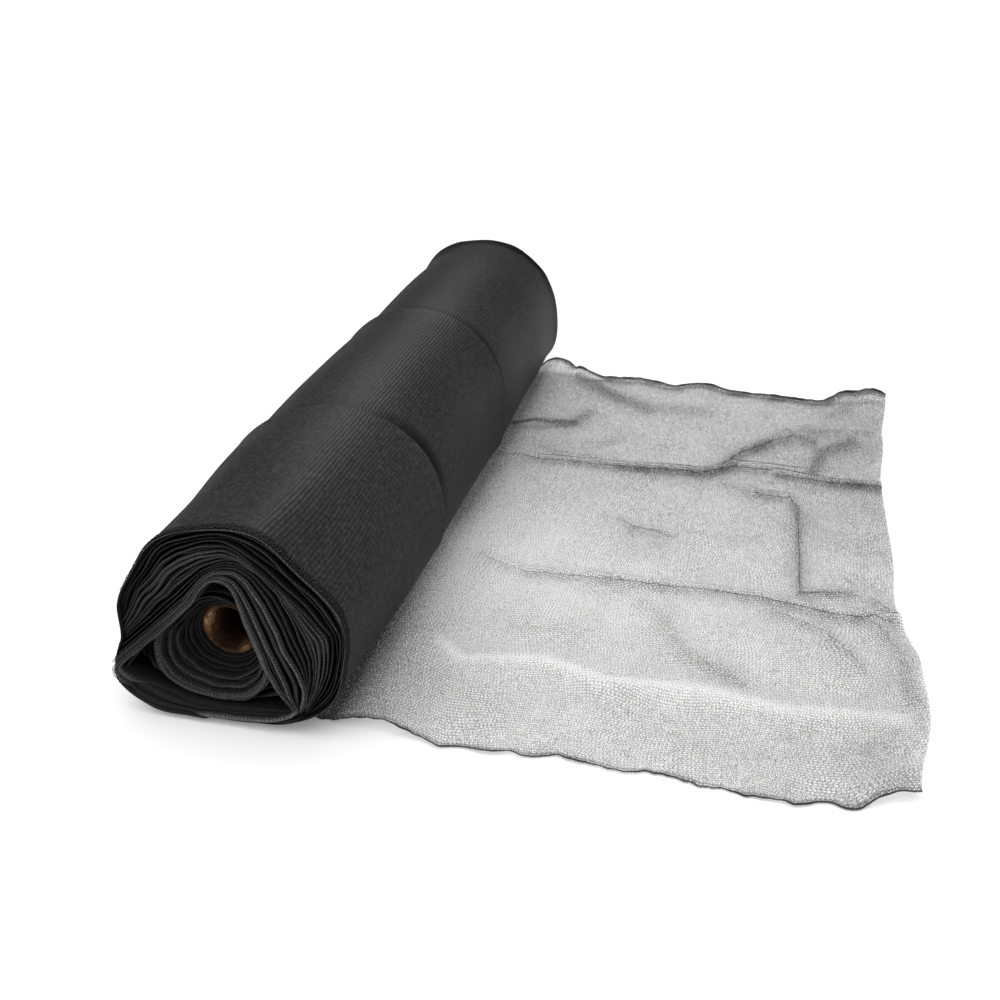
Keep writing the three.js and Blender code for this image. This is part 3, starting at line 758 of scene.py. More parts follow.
class Finish:
    """A material on a Principled shader, with its nodes added by node() and math()."""

    def __init__(self, name, **constants):
        self.material = bpy.data.materials.new(name)
        self.material.use_nodes = True
        self.nodes = self.material.node_tree.nodes
        self.links = self.material.node_tree.links
        self.shader = next(n for n in self.nodes if n.type == "BSDF_PRINCIPLED")
        for socket, value in constants.items():
            self.shader.inputs[socket.replace("_", " ")].default_value = value

    def node(self, kind, settings=None, inputs=None, output=0):
        made = self.nodes.new(kind)
        for key, value in (settings or {}).items():
            if key == "stops":
                self.set_stops(made.color_ramp, value)
            else:
                setattr(made, key, value)
        for key, value in (inputs or {}).items():
            self.feed(made.inputs[key], value)
        return Value(self, made.outputs[output])

    def set_stops(self, ramp, stops):
        while len(ramp.elements) < len(stops):
            ramp.elements.new(0.5)
        for element, (position, colour) in zip(ramp.elements, stops):
            element.position = position
            element.color = (*colour, 1.0)

    def feed(self, socket, value):
        if isinstance(value, Value):
            self.links.new(value.socket, socket)
        else:
            socket.default_value = value

    def set(self, socket, value):
        self.feed(self.shader.inputs[socket], value)

    def math(self, operation, *values):
        return self.node("ShaderNodeMath", {"operation": operation}, dict(enumerate(values)))

    def part(self, vector, axis):
        return self.node("ShaderNodeSeparateXYZ", {}, {"Vector": vector}, axis)

    def uv(self):
        """A place's two coordinates along the surface."""
        vector = self.node("ShaderNodeUVMap", {"uv_map": "UVMap"})
        return self.part(vector, "X"), self.part(vector, "Y")

    def here(self):
        return self.node("ShaderNodeTexCoord", {}, {}, "Object")

    def tone(self):
        """The tone that a piece's points carry."""
        return self.node("ShaderNodeAttribute", {"attribute_name": "tone"}, {}, "Fac")

    def noise(self, scale, detail, vector=None):
        where = self.here() if vector is None else vector
        inputs = {"Vector": where, "Scale": scale, "Detail": detail}
        return self.node("ShaderNodeTexNoise", {}, inputs, "Fac")

    def colour(self, share, stops):
        """Base colour from a ramp over share; a stop's colour is a level of near-black grey or a triple."""
        triples = [(position, grey(stop) if isinstance(stop, float) else stop) for position, stop in stops]
        self.set("Base Color", self.node("ShaderNodeValToRGB", {"stops": triples}, {"Fac": share}, "Color"))

    def bump(self, height, distance, strength):
        inputs = {"Height": height, "Distance": distance, "Strength": strength}
        self.set("Normal", self.node("ShaderNodeBump", {}, inputs))


def grey(level):
    """A grey with the faint blue of black plastic."""
    return (level, level, level * 1.02)


def wound_net_finish():
    """Many turns of black net: yarns crossing over dark gaps, uneven by stitch, with a dull sheen."""
    finish = Finish("wound net", Specular_IOR_Level=0.03)
    u, v = finish.uv()
    cloud = finish.noise(scale=7.0, detail=4.0)
    grain = finish.noise(scale=210.0, detail=2.0)
    fleck = finish.noise(scale=520.0, detail=2.0)
    rib = (u * (RIBS / (ROLL_ROUND * MM)) + grain * 0.4).wave()
    chain = (v * (1 / (STITCH_PITCH * MM)) + rib * 0.5 + grain * 0.5).wave()
    loops = rib * 0.5 + chain * 0.5
    uneven = (grain - 0.5) * 0.9 + (fleck - 0.5) * 0.5
    # The tone holds the dark selvedges and the shade and highlights painted on the skin
    shade = (loops * 0.3 + cloud * 0.2 + 0.25 + uneven * 0.7) * finish.tone()
    finish.colour(shade, [(0.0, 0.003), (0.5, 0.03), (1.0, 0.08)])
    finish.set("Roughness", 0.52 - loops * 0.08)
    finish.bump(loops + grain + fleck * 0.5, distance=0.5 * MM, strength=0.5)
    return finish.material


def turn_finish():
    """Edges of the wound turns: pale or dark by turn, with a row of stitches along each."""
    finish = Finish("turn edges", Specular_IOR_Level=0.2)
    along, _ = finish.uv()
    fleck = finish.noise(scale=420.0, detail=2.0)
    grain = finish.noise(scale=190.0, detail=2.0)
    stitch = (along * (1 / (STITCH_PITCH * MM)) + grain * 1.5).wave()
    # The tone holds each turn's own paleness and the shade painted into its gaps and on one side
    shade = finish.tone() * (stitch * 0.42 + fleck * 0.6 + grain * 0.65 + 0.12)
    finish.colour(shade, [(0.0, 0.005), (0.25, 0.018), (0.5, 0.046), (1.0, 0.14)])
    finish.set("Roughness", 0.85 - fleck * 0.2)
    finish.bump(stitch * 0.6 + fleck + grain, distance=0.5 * MM, strength=0.9)
    return finish.material


def yarn_finish(name, level):
    """Black plastic yarn with slight streaks."""
    finish = Finish(name, Specular_IOR_Level=0.4)
    streak = finish.noise(scale=420.0, detail=2.0)
    finish.colour(streak, [(0.2, level * 0.6), (0.8, level * 1.5)])
    finish.set("Roughness", 0.5 + streak * 0.25)
    return finish.material


def sheer_net_finish():
    """The lower layer of the loose end: yarns knitted at a slightly finer pitch, open between them."""
    finish = Finish("sheer net", Specular_IOR_Level=0.3)
    u, v = finish.uv()
    tone = finish.tone()
    grain = finish.noise(scale=170.0, detail=2.0)
    along_roll = {0: finish.here(), 1: (1.0, 0.3, 1.0)}
    stretched = finish.node("ShaderNodeVectorMath", {"operation": "MULTIPLY"}, along_roll)
    coarse = finish.noise(scale=240.0, detail=1.0, vector=stretched)
    further = (finish.part(finish.here(), "Y") * 1.6 + 0.4).math("MAXIMUM", 0.0)
    patchy = (coarse - 0.5) * (further * 1.6 + 0.6) + 1.0
    crowded = tone.math("MINIMUM", 0.17) * (0.5 + grain * 2.2) * patchy
    wale = (v * (1 / (LOWER_WALE_PITCH * MM))).near_line() < crowded
    zigzag = (v * (1 / (2 * LOWER_WALE_PITCH * MM))).near_line()
    course = (u * (1 / (LOWER_COURSE_PITCH * MM)) + zigzag * 0.5).near_line() < crowded
    # Where the tone is high the sheet fills in: crowded yarns, painted shade of creases and the roll's
    # painted shadow
    packed = finish.noise(scale=800.0, detail=0.0) < tone * 2.22 + 0.157
    dense = packed * (tone * 2.7 + 0.25).math("MINIMUM", 0.88)
    finish.colour(grain, [(0.2, 0.015), (0.8, 0.04)])
    finish.set("Roughness", 0.6 + grain * 0.25)
    finish.set("Alpha", (wale.math("MAXIMUM", course) * 0.6).math("MAXIMUM", dense))
    return finish.material


def cardboard_finish():
    """Brown paper strips wound into a tube, with a seam every turn."""
    finish = Finish("core cardboard", Specular_IOR_Level=0.2)
    turn, along = finish.uv()
    strip_width = 95 * MM
    seam = (along * (1 / strip_width) + turn).near_line() < 0.02
    fibre = finish.noise(scale=180.0, detail=5.0)
    # The tone holds the light and shade painted inside the tube's near end
    shade = (fibre * 1.5 - seam * 0.25 - 0.25) * finish.tone()
    finish.colour(shade, [(0.0, (0.006, 0.003, 0.002)), (0.3, (0.13, 0.062, 0.025)),
                          (0.6, (0.42, 0.25, 0.125)), (0.95, (0.75, 0.55, 0.38))])
    finish.set("Roughness", 0.95 - fibre * 0.15)
    finish.bump(fibre - seam * 0.8, distance=0.4 * MM, strength=0.6)
    return finish.material


def floor_finish():
    finish = Finish("pale floor", Specular_IOR_Level=0.1, Roughness=0.9, Emission_Strength=0.15)
    finish.set("Emission Color", (1, 1, 1, 1))
    cloud = finish.noise(scale=2.0, detail=2.0)
    finish.colour(cloud, [(0.3, (0.86, 0.86, 0.86)), (0.7, (0.88, 0.88, 0.88))])
    return finish.material


def skin_stations():
    """Where the skin's rows lie along the roll: plain ones, with closer ones at the ridges and rims."""
    plain = np.linspace(RIM_ROWS[-1] + ROW_ROOM["rim"], LAST_ROW, PLAIN_ROWS)
    stations = [np.array(RIM_ROWS), [LAST_ROW], ROLL_LENGTH + np.array(FAR_RIM_ROWS)]
    for ridge in RIDGES:
        closer = ridge["y"] + np.array(RIDGE_ROWS)
        before, after = closer[0] - ROW_ROOM["ridge"], closer[-1] + ROW_ROOM["ridge"]
        plain = plain[(plain < before) | (plain > after)]
        stations.append(closer)
    stations.append(plain[plain < ROLL_LENGTH + FAR_RIM_ROWS[0] - ROW_ROOM["far_rim"]])
    return np.sort(np.concatenate(stations))


def net_roll_piece(material):
    """The wound net: ribbed outside, the open end's floor, the bore and the far end, as one closed skin."""
    columns = RIBS * RIB_POINTS
    direction = directions(columns)
    angle = np.radians(direction)
    rib = RIB_HEIGHT * np.cos(2 * math.pi * np.arange(columns) / RIB_POINTS)
    rows, tones = [], []
    for station in skin_stations():
        y = station + np.zeros(columns)
        for ridge in RIDGES:
            hold = 1 - ease(abs(station - ridge["y"]), 0, ridge["blend"])
            y = y + hold * (ridge_place(ridge, direction) - ridge["y"])
        swing = sum(row["degrees"] * drift(station, row["line"], row["thing"]) for row in RIB_SWINGS)
        beside = drift(SLACK["round"] * np.cos(angle), y, "slack_beside")
        above = drift(SLACK["round"] * np.sin(angle), y, "slack_above")
        slack = SLACK["rise"] * (beside + above) * ease(station, 0, SLACK["start"])
        x, z = roll_section((direction + swing) % 360, y, rib + slack)
        rows.append(stack(x, y, z))
        tones.append(skin_tone(direction, y))
    far_rim = rows[-1]
    seat = bore_ring(ROLL_LENGTH - TUBE_FAR_RECESS - TURNS_BEHIND_TUBE, direction)
    for row in FAR_END_FLOOR:
        ring = blend(far_rim, seat, row["share"])
        ring[:, 1] = ROLL_LENGTH - row["depth"]
        rows.append(ring)
    rows.append(seat - [0, BORE_FAR_STEP, 0])
    rows.append(bore_ring(TUBE_NEAR_RECESS + BORE_NEAR_STEP, direction))
    for row in reversed(OPEN_END_FLOOR):
        x, z = open_end_ring(row["outer"], row["inner"], row["share"], direction, row["depth"])
        rows.append(stack(x, row["depth"], np.maximum(z, 0)))
    # The rows inside the roll carry painted shade
    tones.extend([np.full(columns, INSIDE_PAINTED_SHADE)] * (len(rows) - len(tones)))
    points, faces = loft(rows, around=True, along=True)
    spans = np.linalg.norm(np.diff(np.array(rows)[:, 0], axis=0), axis=-1)
    v = np.concatenate([[0], np.cumsum(spans), [np.sum(spans) + SEAM_SPAN]]) * MM
    u = np.arange(columns + 1) / columns * ROLL_ROUND * MM
    return mesh_piece("net_roll_skin", place(points), faces, material, grid_uv(u, v), np.array(tones))


def turn_wander(turn, seed, direction):
    """How far a turn's edge strays sideways, and how deep it lies."""
    side = turn["sway"] * ripple(direction, seed, SIDE_WAVES)
    deeper = DEPTH_SWAY * turn["sway"] * ripple(direction, seed + DEPTH_SEED, DEPTH_WAVES)
    return side, turn["front"] + deeper


def turn_band(ring_at, turn, seed, covered=0.0):
    """One turn's edge as a closed band: rounded at its front, drawn in and buried at its back."""
    direction = directions(TURN_POINTS)
    side, depth = turn_wander(turn, seed, direction)
    start, end = turn["arc"]
    middle, half = (start + end) / 2, (end - start) / 2
    hold = np.ones(TURN_POINTS)
    if turn["arc"] != ALL_ROUND:
        past = np.abs(turned_from(direction, middle)) - half
        hold = 1 - ARC_END["dark"] * ease(past, -ARC_END["before"], ARC_END["after"])
    depth = depth + turn["sink"] * (1 - hold) + COVERED_SINK * covered
    # Painted shade on one side of the open end
    hold = hold * (1 - covered) * (1 - PAINTED_SHADE_SIDE["dark"] * bell_of(PAINTED_SHADE_SIDE, direction))
    rows, tones = [], []
    for spot in TURN_SECTION:
        y = depth + spot["behind"]
        x, z = ring_at(direction, side - TURN_TUCK * spot["behind"], spot["across"] * turn["thick"] / 2, y)
        rows.append(stack(x, y, np.maximum(z, ABOVE_FLOOR)))
        tones.append(turn["tone"] * spot["tone"] * hold)
    return rows, np.array(tones)


def turns_piece(name, material, bands):
    """Many bands joined into one mesh, each with its own tone and its length along the band."""
    all_points, all_faces, all_uv, tones = [], [], [], []
    offset = 0
    for rows, tone in bands:
        points, faces = loft(rows, around=True, along=True)
        round_length = np.linalg.norm(np.diff(rows[0], axis=0), axis=-1).sum()
        u = np.linspace(0, round_length, TURN_POINTS + 1) * MM
        v = np.arange(len(rows) + 1) * MM
        all_points.append(points)
        all_faces.append(faces + offset)
        all_uv.append(grid_uv(u, v))
        tones.append(tone.ravel())
        offset += len(points)
    return mesh_piece(name, place(np.concatenate(all_points)), np.concatenate(all_faces), material,
                      np.concatenate(all_uv), np.concatenate(tones))


def turn_lines(turn, direction):
    """The two lines of the open end that a turn lies between, and its own line."""
    outer = open_end_reach(turn["outer"], direction)
    inner = open_end_reach(turn["inner"], direction)
    return outer, inner, blend(outer, inner, turn["share"])


def turn_reach(turn, direction, side, across):
    """Distance of a turn's edge from the tube's axis; turns squeeze together where their lines do."""
    outer, inner, line = turn_lines(turn, direction)
    room = np.clip(np.abs(outer - inner) / EASY_ROOM, LEAST_SWAY, 1)
    reach = line + side * room + across * np.maximum(room, LEAST_THICK)
    return np.minimum(reach, open_end_reach("rim", direction) - BELOW_RIM)


def turn_covered(turn, direction):
    """1 where a turn's line lies outside the rim, 0 where it shows; the rim's own turns always show."""
    if turn["outer"] == "rim" and turn["share"] < RIM_TURN:
        return np.zeros_like(direction)
    line = turn_lines(turn, direction)[2]
    return ease(line - open_end_reach("rim", direction), -COVERED_OVER, 0.0)


def open_end_turns(material):
    bands = []
    for seed, turn in enumerate(OPEN_END_TURNS):
        def ring_at(direction, side, across, y, turn=turn):
            reach = turn_reach(turn, direction, side, across)
            return from_tube(direction, np.minimum(reach, skin_reach(direction, y) - BELOW_SKIN))
        bands.append(turn_band(ring_at, turn, seed, turn_covered(turn, directions(TURN_POINTS))))
    return turns_piece("open_end_turns", material, bands)


def far_end_turns(material):
    """The far end's turns, wound evenly from the rim to the tube."""
    bands = []
    for seed, share in enumerate(np.linspace(FAR_TURNS["first"], FAR_TURNS["last"], FAR_TURNS["count"])):
        def ring_at(direction, side, across, y, share=share):
            inside = np.full_like(direction, ROLL_LENGTH - FAR_TURNS["inset"])
            rim = roll_section(direction, inside, side + across)
            bore = open_end_ring("bore", "bore", 0, direction)
            return blend(rim[0], bore[0], share), blend(rim[1], bore[1], share)
        front = 1.0 if seed == 0 else 2.5 + 2.0 * (seed % 3)
        turn = dict(FAR_TURNS, front=front, tone=0.2 + 0.1 * (seed % 4), arc=ALL_ROUND, sink=0)
        rows, tone = turn_band(ring_at, turn, FAR_TURN_SEED + seed)
        mirrored = [row * [1, -1, 1] + [0, ROLL_LENGTH, 0] for row in rows]
        bands.append(([row[::-1] for row in mirrored], tone[:, ::-1]))
    return turns_piece("far_end_turns", material, bands)


def core_tube_piece(material):
    """The cardboard tube with rounded, slightly worn cut ends, with light painted just inside its near end
    and shade painted deeper in.
    """
    direction = directions(TUBE_POINTS)
    inner, outer, worn = TUBE_INNER / 2, TUBE_OUTER / 2, TUBE_WORN
    low, high = TUBE_NEAR_RECESS, ROLL_LENGTH - TUBE_FAR_RECESS
    lit = TUBE_SHADE + sum(row["light"] * bell_of(row, direction) for row in TUBE_LIGHT)
    # Tones: painted light at the inner mouth, painted shade deep inside the bore
    profile = table("reach y tone", [
        (outer, low + worn, 0.5), (outer, high - worn, 0.5), (outer - worn, high, 0.7),
        (inner + worn, high, 0.7), (inner, high - worn, 0.7), (inner, high - 60, 0.05),
        (inner, low + 50, 0.04), (inner, low + 26, 0.5 * lit), (inner, low + worn, 1.1 * lit),
        (inner + worn, low, 0.08 + 0.6 * lit), (outer - worn, low, 0.05 + 0.3 * lit),
    ])
    wear = TUBE_WEAR["height"] * ripple(direction, TUBE_WEAR["seed"], TUBE_WEAR["waves"])
    rows, tones = [], []
    for spot in profile:
        x, z = from_tube(direction, spot["reach"])
        rows.append(stack(x, spot["y"] + wear * (spot["y"] <= low + worn), z))
        tones.append(spot["tone"] + np.zeros(TUBE_POINTS))
    points, faces = loft(rows, around=True, along=True)
    steps = [math.hypot(b["reach"] - a["reach"], b["y"] - a["y"])
             for a, b in zip(profile, profile[1:] + profile[:1])]
    uv = grid_uv(np.arange(TUBE_POINTS + 1) / TUBE_POINTS, np.concatenate([[0], np.cumsum(steps)]) * MM)
    return mesh_piece("core_tube_paper", place(points), faces, material, uv, np.array(tones))


def beside_fold(fold, x, y):
    """How far along a crease a point lies, from 0 to 1, and its distance from it."""
    run_x, run_y = fold["x1"] - fold["x0"], fold["y1"] - fold["y0"]
    from_x, from_y = x - fold["x0"], y - fold["y0"]
    share = np.clip((from_x * run_x + from_y * run_y) / (run_x ** 2 + run_y ** 2), 0, 1)
    return share, np.hypot(from_x - run_x * share, from_y - run_y * share)


def creep(x, y):
    """The creases wander a little off their straight lines."""
    return x + CREEP * drift(x, y, "creep_x"), y + CREEP * drift(x, y, "creep_y")


def seen_lower(height, y):
    """How far a crease's dark yarns lie in front of its line, as its height leans from the camera."""
    return SEEN_LEAN * height * (y - CAMERA_AT[1]) / CAMERA_AT[2]


def fold_height(x, y):
    """Height of the loose end over the floor: the highest crease that passes there, with fine slackness."""
    height = np.zeros(np.broadcast(x, y).shape)
    moved_x, moved_y = creep(x, y)
    for fold in FOLDS:
        share, away = beside_fold(fold, moved_x, moved_y)
        away = np.minimum(away / fold["width"], 1)
        profile = (1 - away) ** 2 if fold["sharp"] else (1 - away ** 2) ** 2
        height = np.maximum(height, blend(fold["h0"], fold["h1"], share) * profile)
    return height + SHEET_SLACK * (1 + np.clip(drift(x, y, "sheet_slack"), -1, 1))


def crowding(x, y, across):
    """How much closer than usual the yarns lie: along creases, by the roll, at the selvedges, in patches;
    round creases, the band around each crease and the roll's side also carry painted shade.
    """
    closer, apart = crease_crowding_and_shade(x, y)
    crowded = np.maximum(np.maximum(closer, roll_crowding_and_shadow(x, y)), edge_crowding(x, y, across))
    return np.clip(crowded + apart + patch_crowding(x, y), -1, 1)


def crease_crowding_and_shade(x, y):
    """How much closer the yarns lie along the creases, with painted shade over and around them, and below 0
    where they are pulled apart there.
    """
    moved_x, moved_y = creep(x, y)
    broken = CROWD_BREAKS["mean"] + CROWD_BREAKS["vary"] * drift(x, y, "crease_breaks")
    closer = np.zeros(np.broadcast(x, y).shape)
    apart = np.zeros(closer.shape)
    for fold in FOLDS:
        lower = seen_lower((fold["h0"] + fold["h1"]) / 2, moved_y)
        away = beside_fold(fold, moved_x, moved_y + lower)[1]
        wider = CREASE_SHADE_REACH["times"] * fold["spread"] + CREASE_SHADE_REACH["more"]
        near = np.exp(-((away / fold["spread"]) ** 2)) * fold["dark"]
        around = np.exp(-((away / wider) ** 2)) * fold["dark"]
        # Along a sharp crease the yarns bunch; a round crease and the wider band round every crease are
        # painted shade
        strength = CROWD["sharp"] * broken if fold["sharp"] else CROWD["round"]
        closer = np.maximum(closer, strength * near + CROWD["around"] * around)
        apart = np.minimum(apart, CROWD["apart"] * near)
    return closer, apart


def roll_crowding_and_shadow(x, y):
    # Yarns bunch beside the roll, and the roll's shadow is painted in as closer yarns
    seen_side = blend(*ROLL_BUNCHING_AND_SHADOW["side"], ease(y, *ROLL_BUNCHING_AND_SHADOW["side_change"]))
    further = ease(y, *ROLL_BUNCHING_AND_SHADOW["change"])
    fading = np.exp(-np.maximum(x - seen_side, 0) / blend(*ROLL_BUNCHING_AND_SHADOW["reach"], further))
    return blend(*ROLL_BUNCHING_AND_SHADOW["crowd"], further) * fading


def edge_crowding(x, y, across):
    fading = np.exp(-from_edge(across) / blend(*BY_EDGE["reach"], across))
    breaks = BY_EDGE["mean"] + BY_EDGE["vary"] * drift(x, y, "edge_breaks")
    return blend(*BY_EDGE["crowd"], across) * fading * np.clip(breaks, blend(*BY_EDGE["least"], across), 1)


def patch_crowding(x, y):
    patches = PATCHES["vary"] * drift(x, y, "patches") + PATCHES["far"] * ease(y, *PATCHES["far_part"])
    patches = patches + PATCHES["outer"] * ease(x, *PATCHES["outer_part"])
    patches = patches + PATCHES["front"] * (1 - ease(y, *PATCHES["front_part"]))
    aside = (x - THIN_PATCH["x"]) / THIN_PATCH["width"]
    along = (y - THIN_PATCH["y"]) / THIN_PATCH["length"]
    return patches - THIN_PATCH["thin"] * np.exp(-(aside ** 2) - along ** 2)


def from_edge(across):
    """Distance from the nearer selvedge of the loose end."""
    return np.minimum(across, 1 - across) * LOOSE_WIDTH


def tucked_x(y):
    """Where the loose end goes in under the roll."""
    radius, x, height = body_section(y)
    under_body = x + np.sqrt(radius ** 2 - (height - NET_THICKNESS - 2 * FIT_GAP) ** 2)
    return blend(OPEN_END_TUCK, under_body, ease(y, 0, OPEN_END_LENGTH))


def loose_point(out, across, lift):
    """A point of the loose end: out from the roll and across it, both from 0 to 1."""
    plain_y = across * ROLL_LENGTH
    x = blend(tucked_x(plain_y), column(OUTER_EDGE, "y", plain_y, "x"), out)
    y = blend(column(NEAR_EDGE, "x", x, "y"), column(FAR_EDGE, "x", x, "y"), across)
    run = EDGE_RUN * across
    frayed = blend(*FRAY["coarse"], across) * drift(x, run, "fray")
    frayed = frayed + FRAY["fine"] * drift(x, run, "fine_fray")
    y = y + frayed * np.exp(-from_edge(across) / FRAY["reach"])
    rolled = blend(*CURL["far"], ease(across, *CURL["far_part"]))
    rolled = rolled + CURL["vary"] * np.clip(drift(x, run, "curl"), 0, 1)
    curl = rolled * np.exp(-from_edge(across) / CURL["reach"])
    return stack(x, y, (fold_height(x, y) + curl) * ease(x, *FLAT_BY_ROLL) + lift)


def stray(out, across, thing):
    """How far slack yarns stray from their straight lines in the net."""
    return NET_STRAY * drift(out * LOOSE_LENGTH, across * LOOSE_WIDTH, thing)


def loose_sheet(material):
    """The loose end's lower layer, one continuous sheet."""
    out_steps, across_steps = SHEET_STEPS
    out = np.linspace(0, 1, out_steps + 1)
    across = np.linspace(0, 1, across_steps + 1)
    points, faces = loft([loose_point(np.full_like(across, step), across, LAYER["net"]) for step in out])
    first, second = np.meshgrid(out, across, indexing="ij")
    u = (first * LOOSE_LENGTH + stray(first, second, "net_out")) * MM
    v = (second * LOOSE_WIDTH + stray(first, second, "net_across")) * MM
    uv = np.stack([u.ravel()[faces], v.ravel()[faces]], axis=-1).reshape(-1, 2)
    # The tone holds crowded yarns, painted shade of the creases and the roll's painted shadow
    crowded = np.maximum(crowding(points[:, 0], points[:, 1], second.ravel()), SHEER_TONE["thinnest"])
    tone = SHEER_TONE["plain"] + SHEER_TONE["crowded"] * crowded
    return mesh_piece("loose_end_net", place(points), faces, material, uv, tone)


def loose_wales(material):
    """The upper layer's pillars of chain stitch, running out from the roll."""
    across = np.arange(WALE_PITCH / 2, LOOSE_WIDTH, WALE_PITCH) / LOOSE_WIDTH
    first, second = np.meshgrid(across, np.linspace(0, 1, WALE_POINTS), indexing="ij")
    strayed = first + stray(second, first, "wales_across") / LOOSE_WIDTH
    return tape_layer("loose_end_wales", second, strayed, LAYER["wales"], material)


def loose_courses(material):
    """The upper layer's zigzag courses, one step for each wale that they cross."""
    wales = int(LOOSE_WIDTH / WALE_PITCH)
    out = np.arange(COURSE_PITCH / 2, LOOSE_LENGTH - COURSE_STOP, COURSE_PITCH) / LOOSE_LENGTH
    first, second = np.meshgrid(out, np.linspace(0, 1, wales + 1), indexing="ij")
    zigzag = ZIGZAG * COURSE_PITCH * (2 * (np.arange(wales + 1) % 2) - 1)
    strayed = first + (zigzag + stray(first, second, "courses_out")) / LOOSE_LENGTH
    return tape_layer("loose_end_courses", strayed, second, LAYER["courses"], material)


def tape_layer(name, out, across, lift, material):
    """Tape yarns along lines of the loose end, wider where the net crowds or shade is painted, narrower
    where it is pulled.
    """
    draw = np.random.default_rng(WANDERS[name][0])
    out = np.clip(out + draw.normal(0, TAPE["jitter"], out.shape) / LOOSE_LENGTH, 0, 1)
    across = np.clip(across + draw.normal(0, TAPE["jitter"], across.shape) / LOOSE_WIDTH, 0, 1)
    paths = loose_point(out, across, lift)
    x, y = paths[..., 0], paths[..., 1]
    uneven = 1 + TAPE["drift"] * drift(x, y, name) + draw.normal(0, TAPE["uneven"], x.shape)
    width = TAPE["width"] * np.maximum(uneven, TAPE["thinnest"])
    width = width * (1 + TAPE["crowded"] * crowding(x, y, across))
    points, faces = yarn_tapes(paths, np.maximum(width, TAPE["least"]))
    return mesh_piece(name, place(points), faces, material)


def crease_yarns(material):
    """Yarns that bunch up along the sharp creases, thicker in the darker ones, and run out at loose ends."""
    share = np.linspace(0, 1, CREASE_POINTS)
    taper = CREASE_YARN["taper"]
    ends = [(fold["x0"], fold["y0"]) for fold in FOLDS] + [(fold["x1"], fold["y1"]) for fold in FOLDS]
    paths, radii = [], []
    for fold in FOLDS:
        if not fold["sharp"]:
            continue
        x = blend(fold["x0"], fold["x1"], share)
        y = blend(fold["y0"], fold["y1"], share)
        y = y - seen_lower(blend(fold["h0"], fold["h1"], share), y)
        moved_x, moved_y = creep(x, y)
        x, y = 2 * x - moved_x, 2 * y - moved_y
        uneven = CREASE_YARN["mean"] + CREASE_YARN["vary"] * drift(x, y, "crease_yarn")
        radius = CREASE_YARN["radius"] * min(fold["dark"], 1) * uneven
        if ends.count((fold["x0"], fold["y0"])) == 1:
            radius = radius * ease(share, 0, taper)
        if ends.count((fold["x1"], fold["y1"])) == 1:
            radius = radius * (1 - ease(share, 1 - taper, 1))
        paths.append(stack(x, y, fold_height(x, y) + LAYER["creases"]))
        radii.append(np.maximum(radius, CREASE_YARN["least"]))
    points, faces = yarn_tubes(np.array(paths), np.array(radii))
    return mesh_piece("loose_end_creases", place(points), faces, material)


def edge_cords(material):
    """The selvedges of the loose end: yarns twisted along each long edge."""
    out = np.linspace(0, 1, CORD_POINTS)
    paths = []
    for across in CORD_ACROSS:
        edge = loose_point(out, np.full_like(out, across), LAYER["cords"])
        for strand in range(CORD["strands"]):
            twist = 2 * math.pi * (out * CORD["twists"] + strand / CORD["strands"])
            paths.append(edge + CORD["round"] * stack(0 * out, np.cos(twist), np.sin(twist)))
    paths = np.array(paths)
    x, y = paths[..., 0], paths[..., 1]
    heavier = 1 + CORD["far_heavier"] * (y > ROLL_LENGTH / 2)
    thick = heavier * (CORD["radius"] + CORD["vary"] * np.clip(drift(x, y, "cord"), 0, CORD["most"]))
    points, faces = yarn_tubes(paths, thick, CORD["sides"])
    return mesh_piece("loose_end_selvedges", place(points), faces, material)


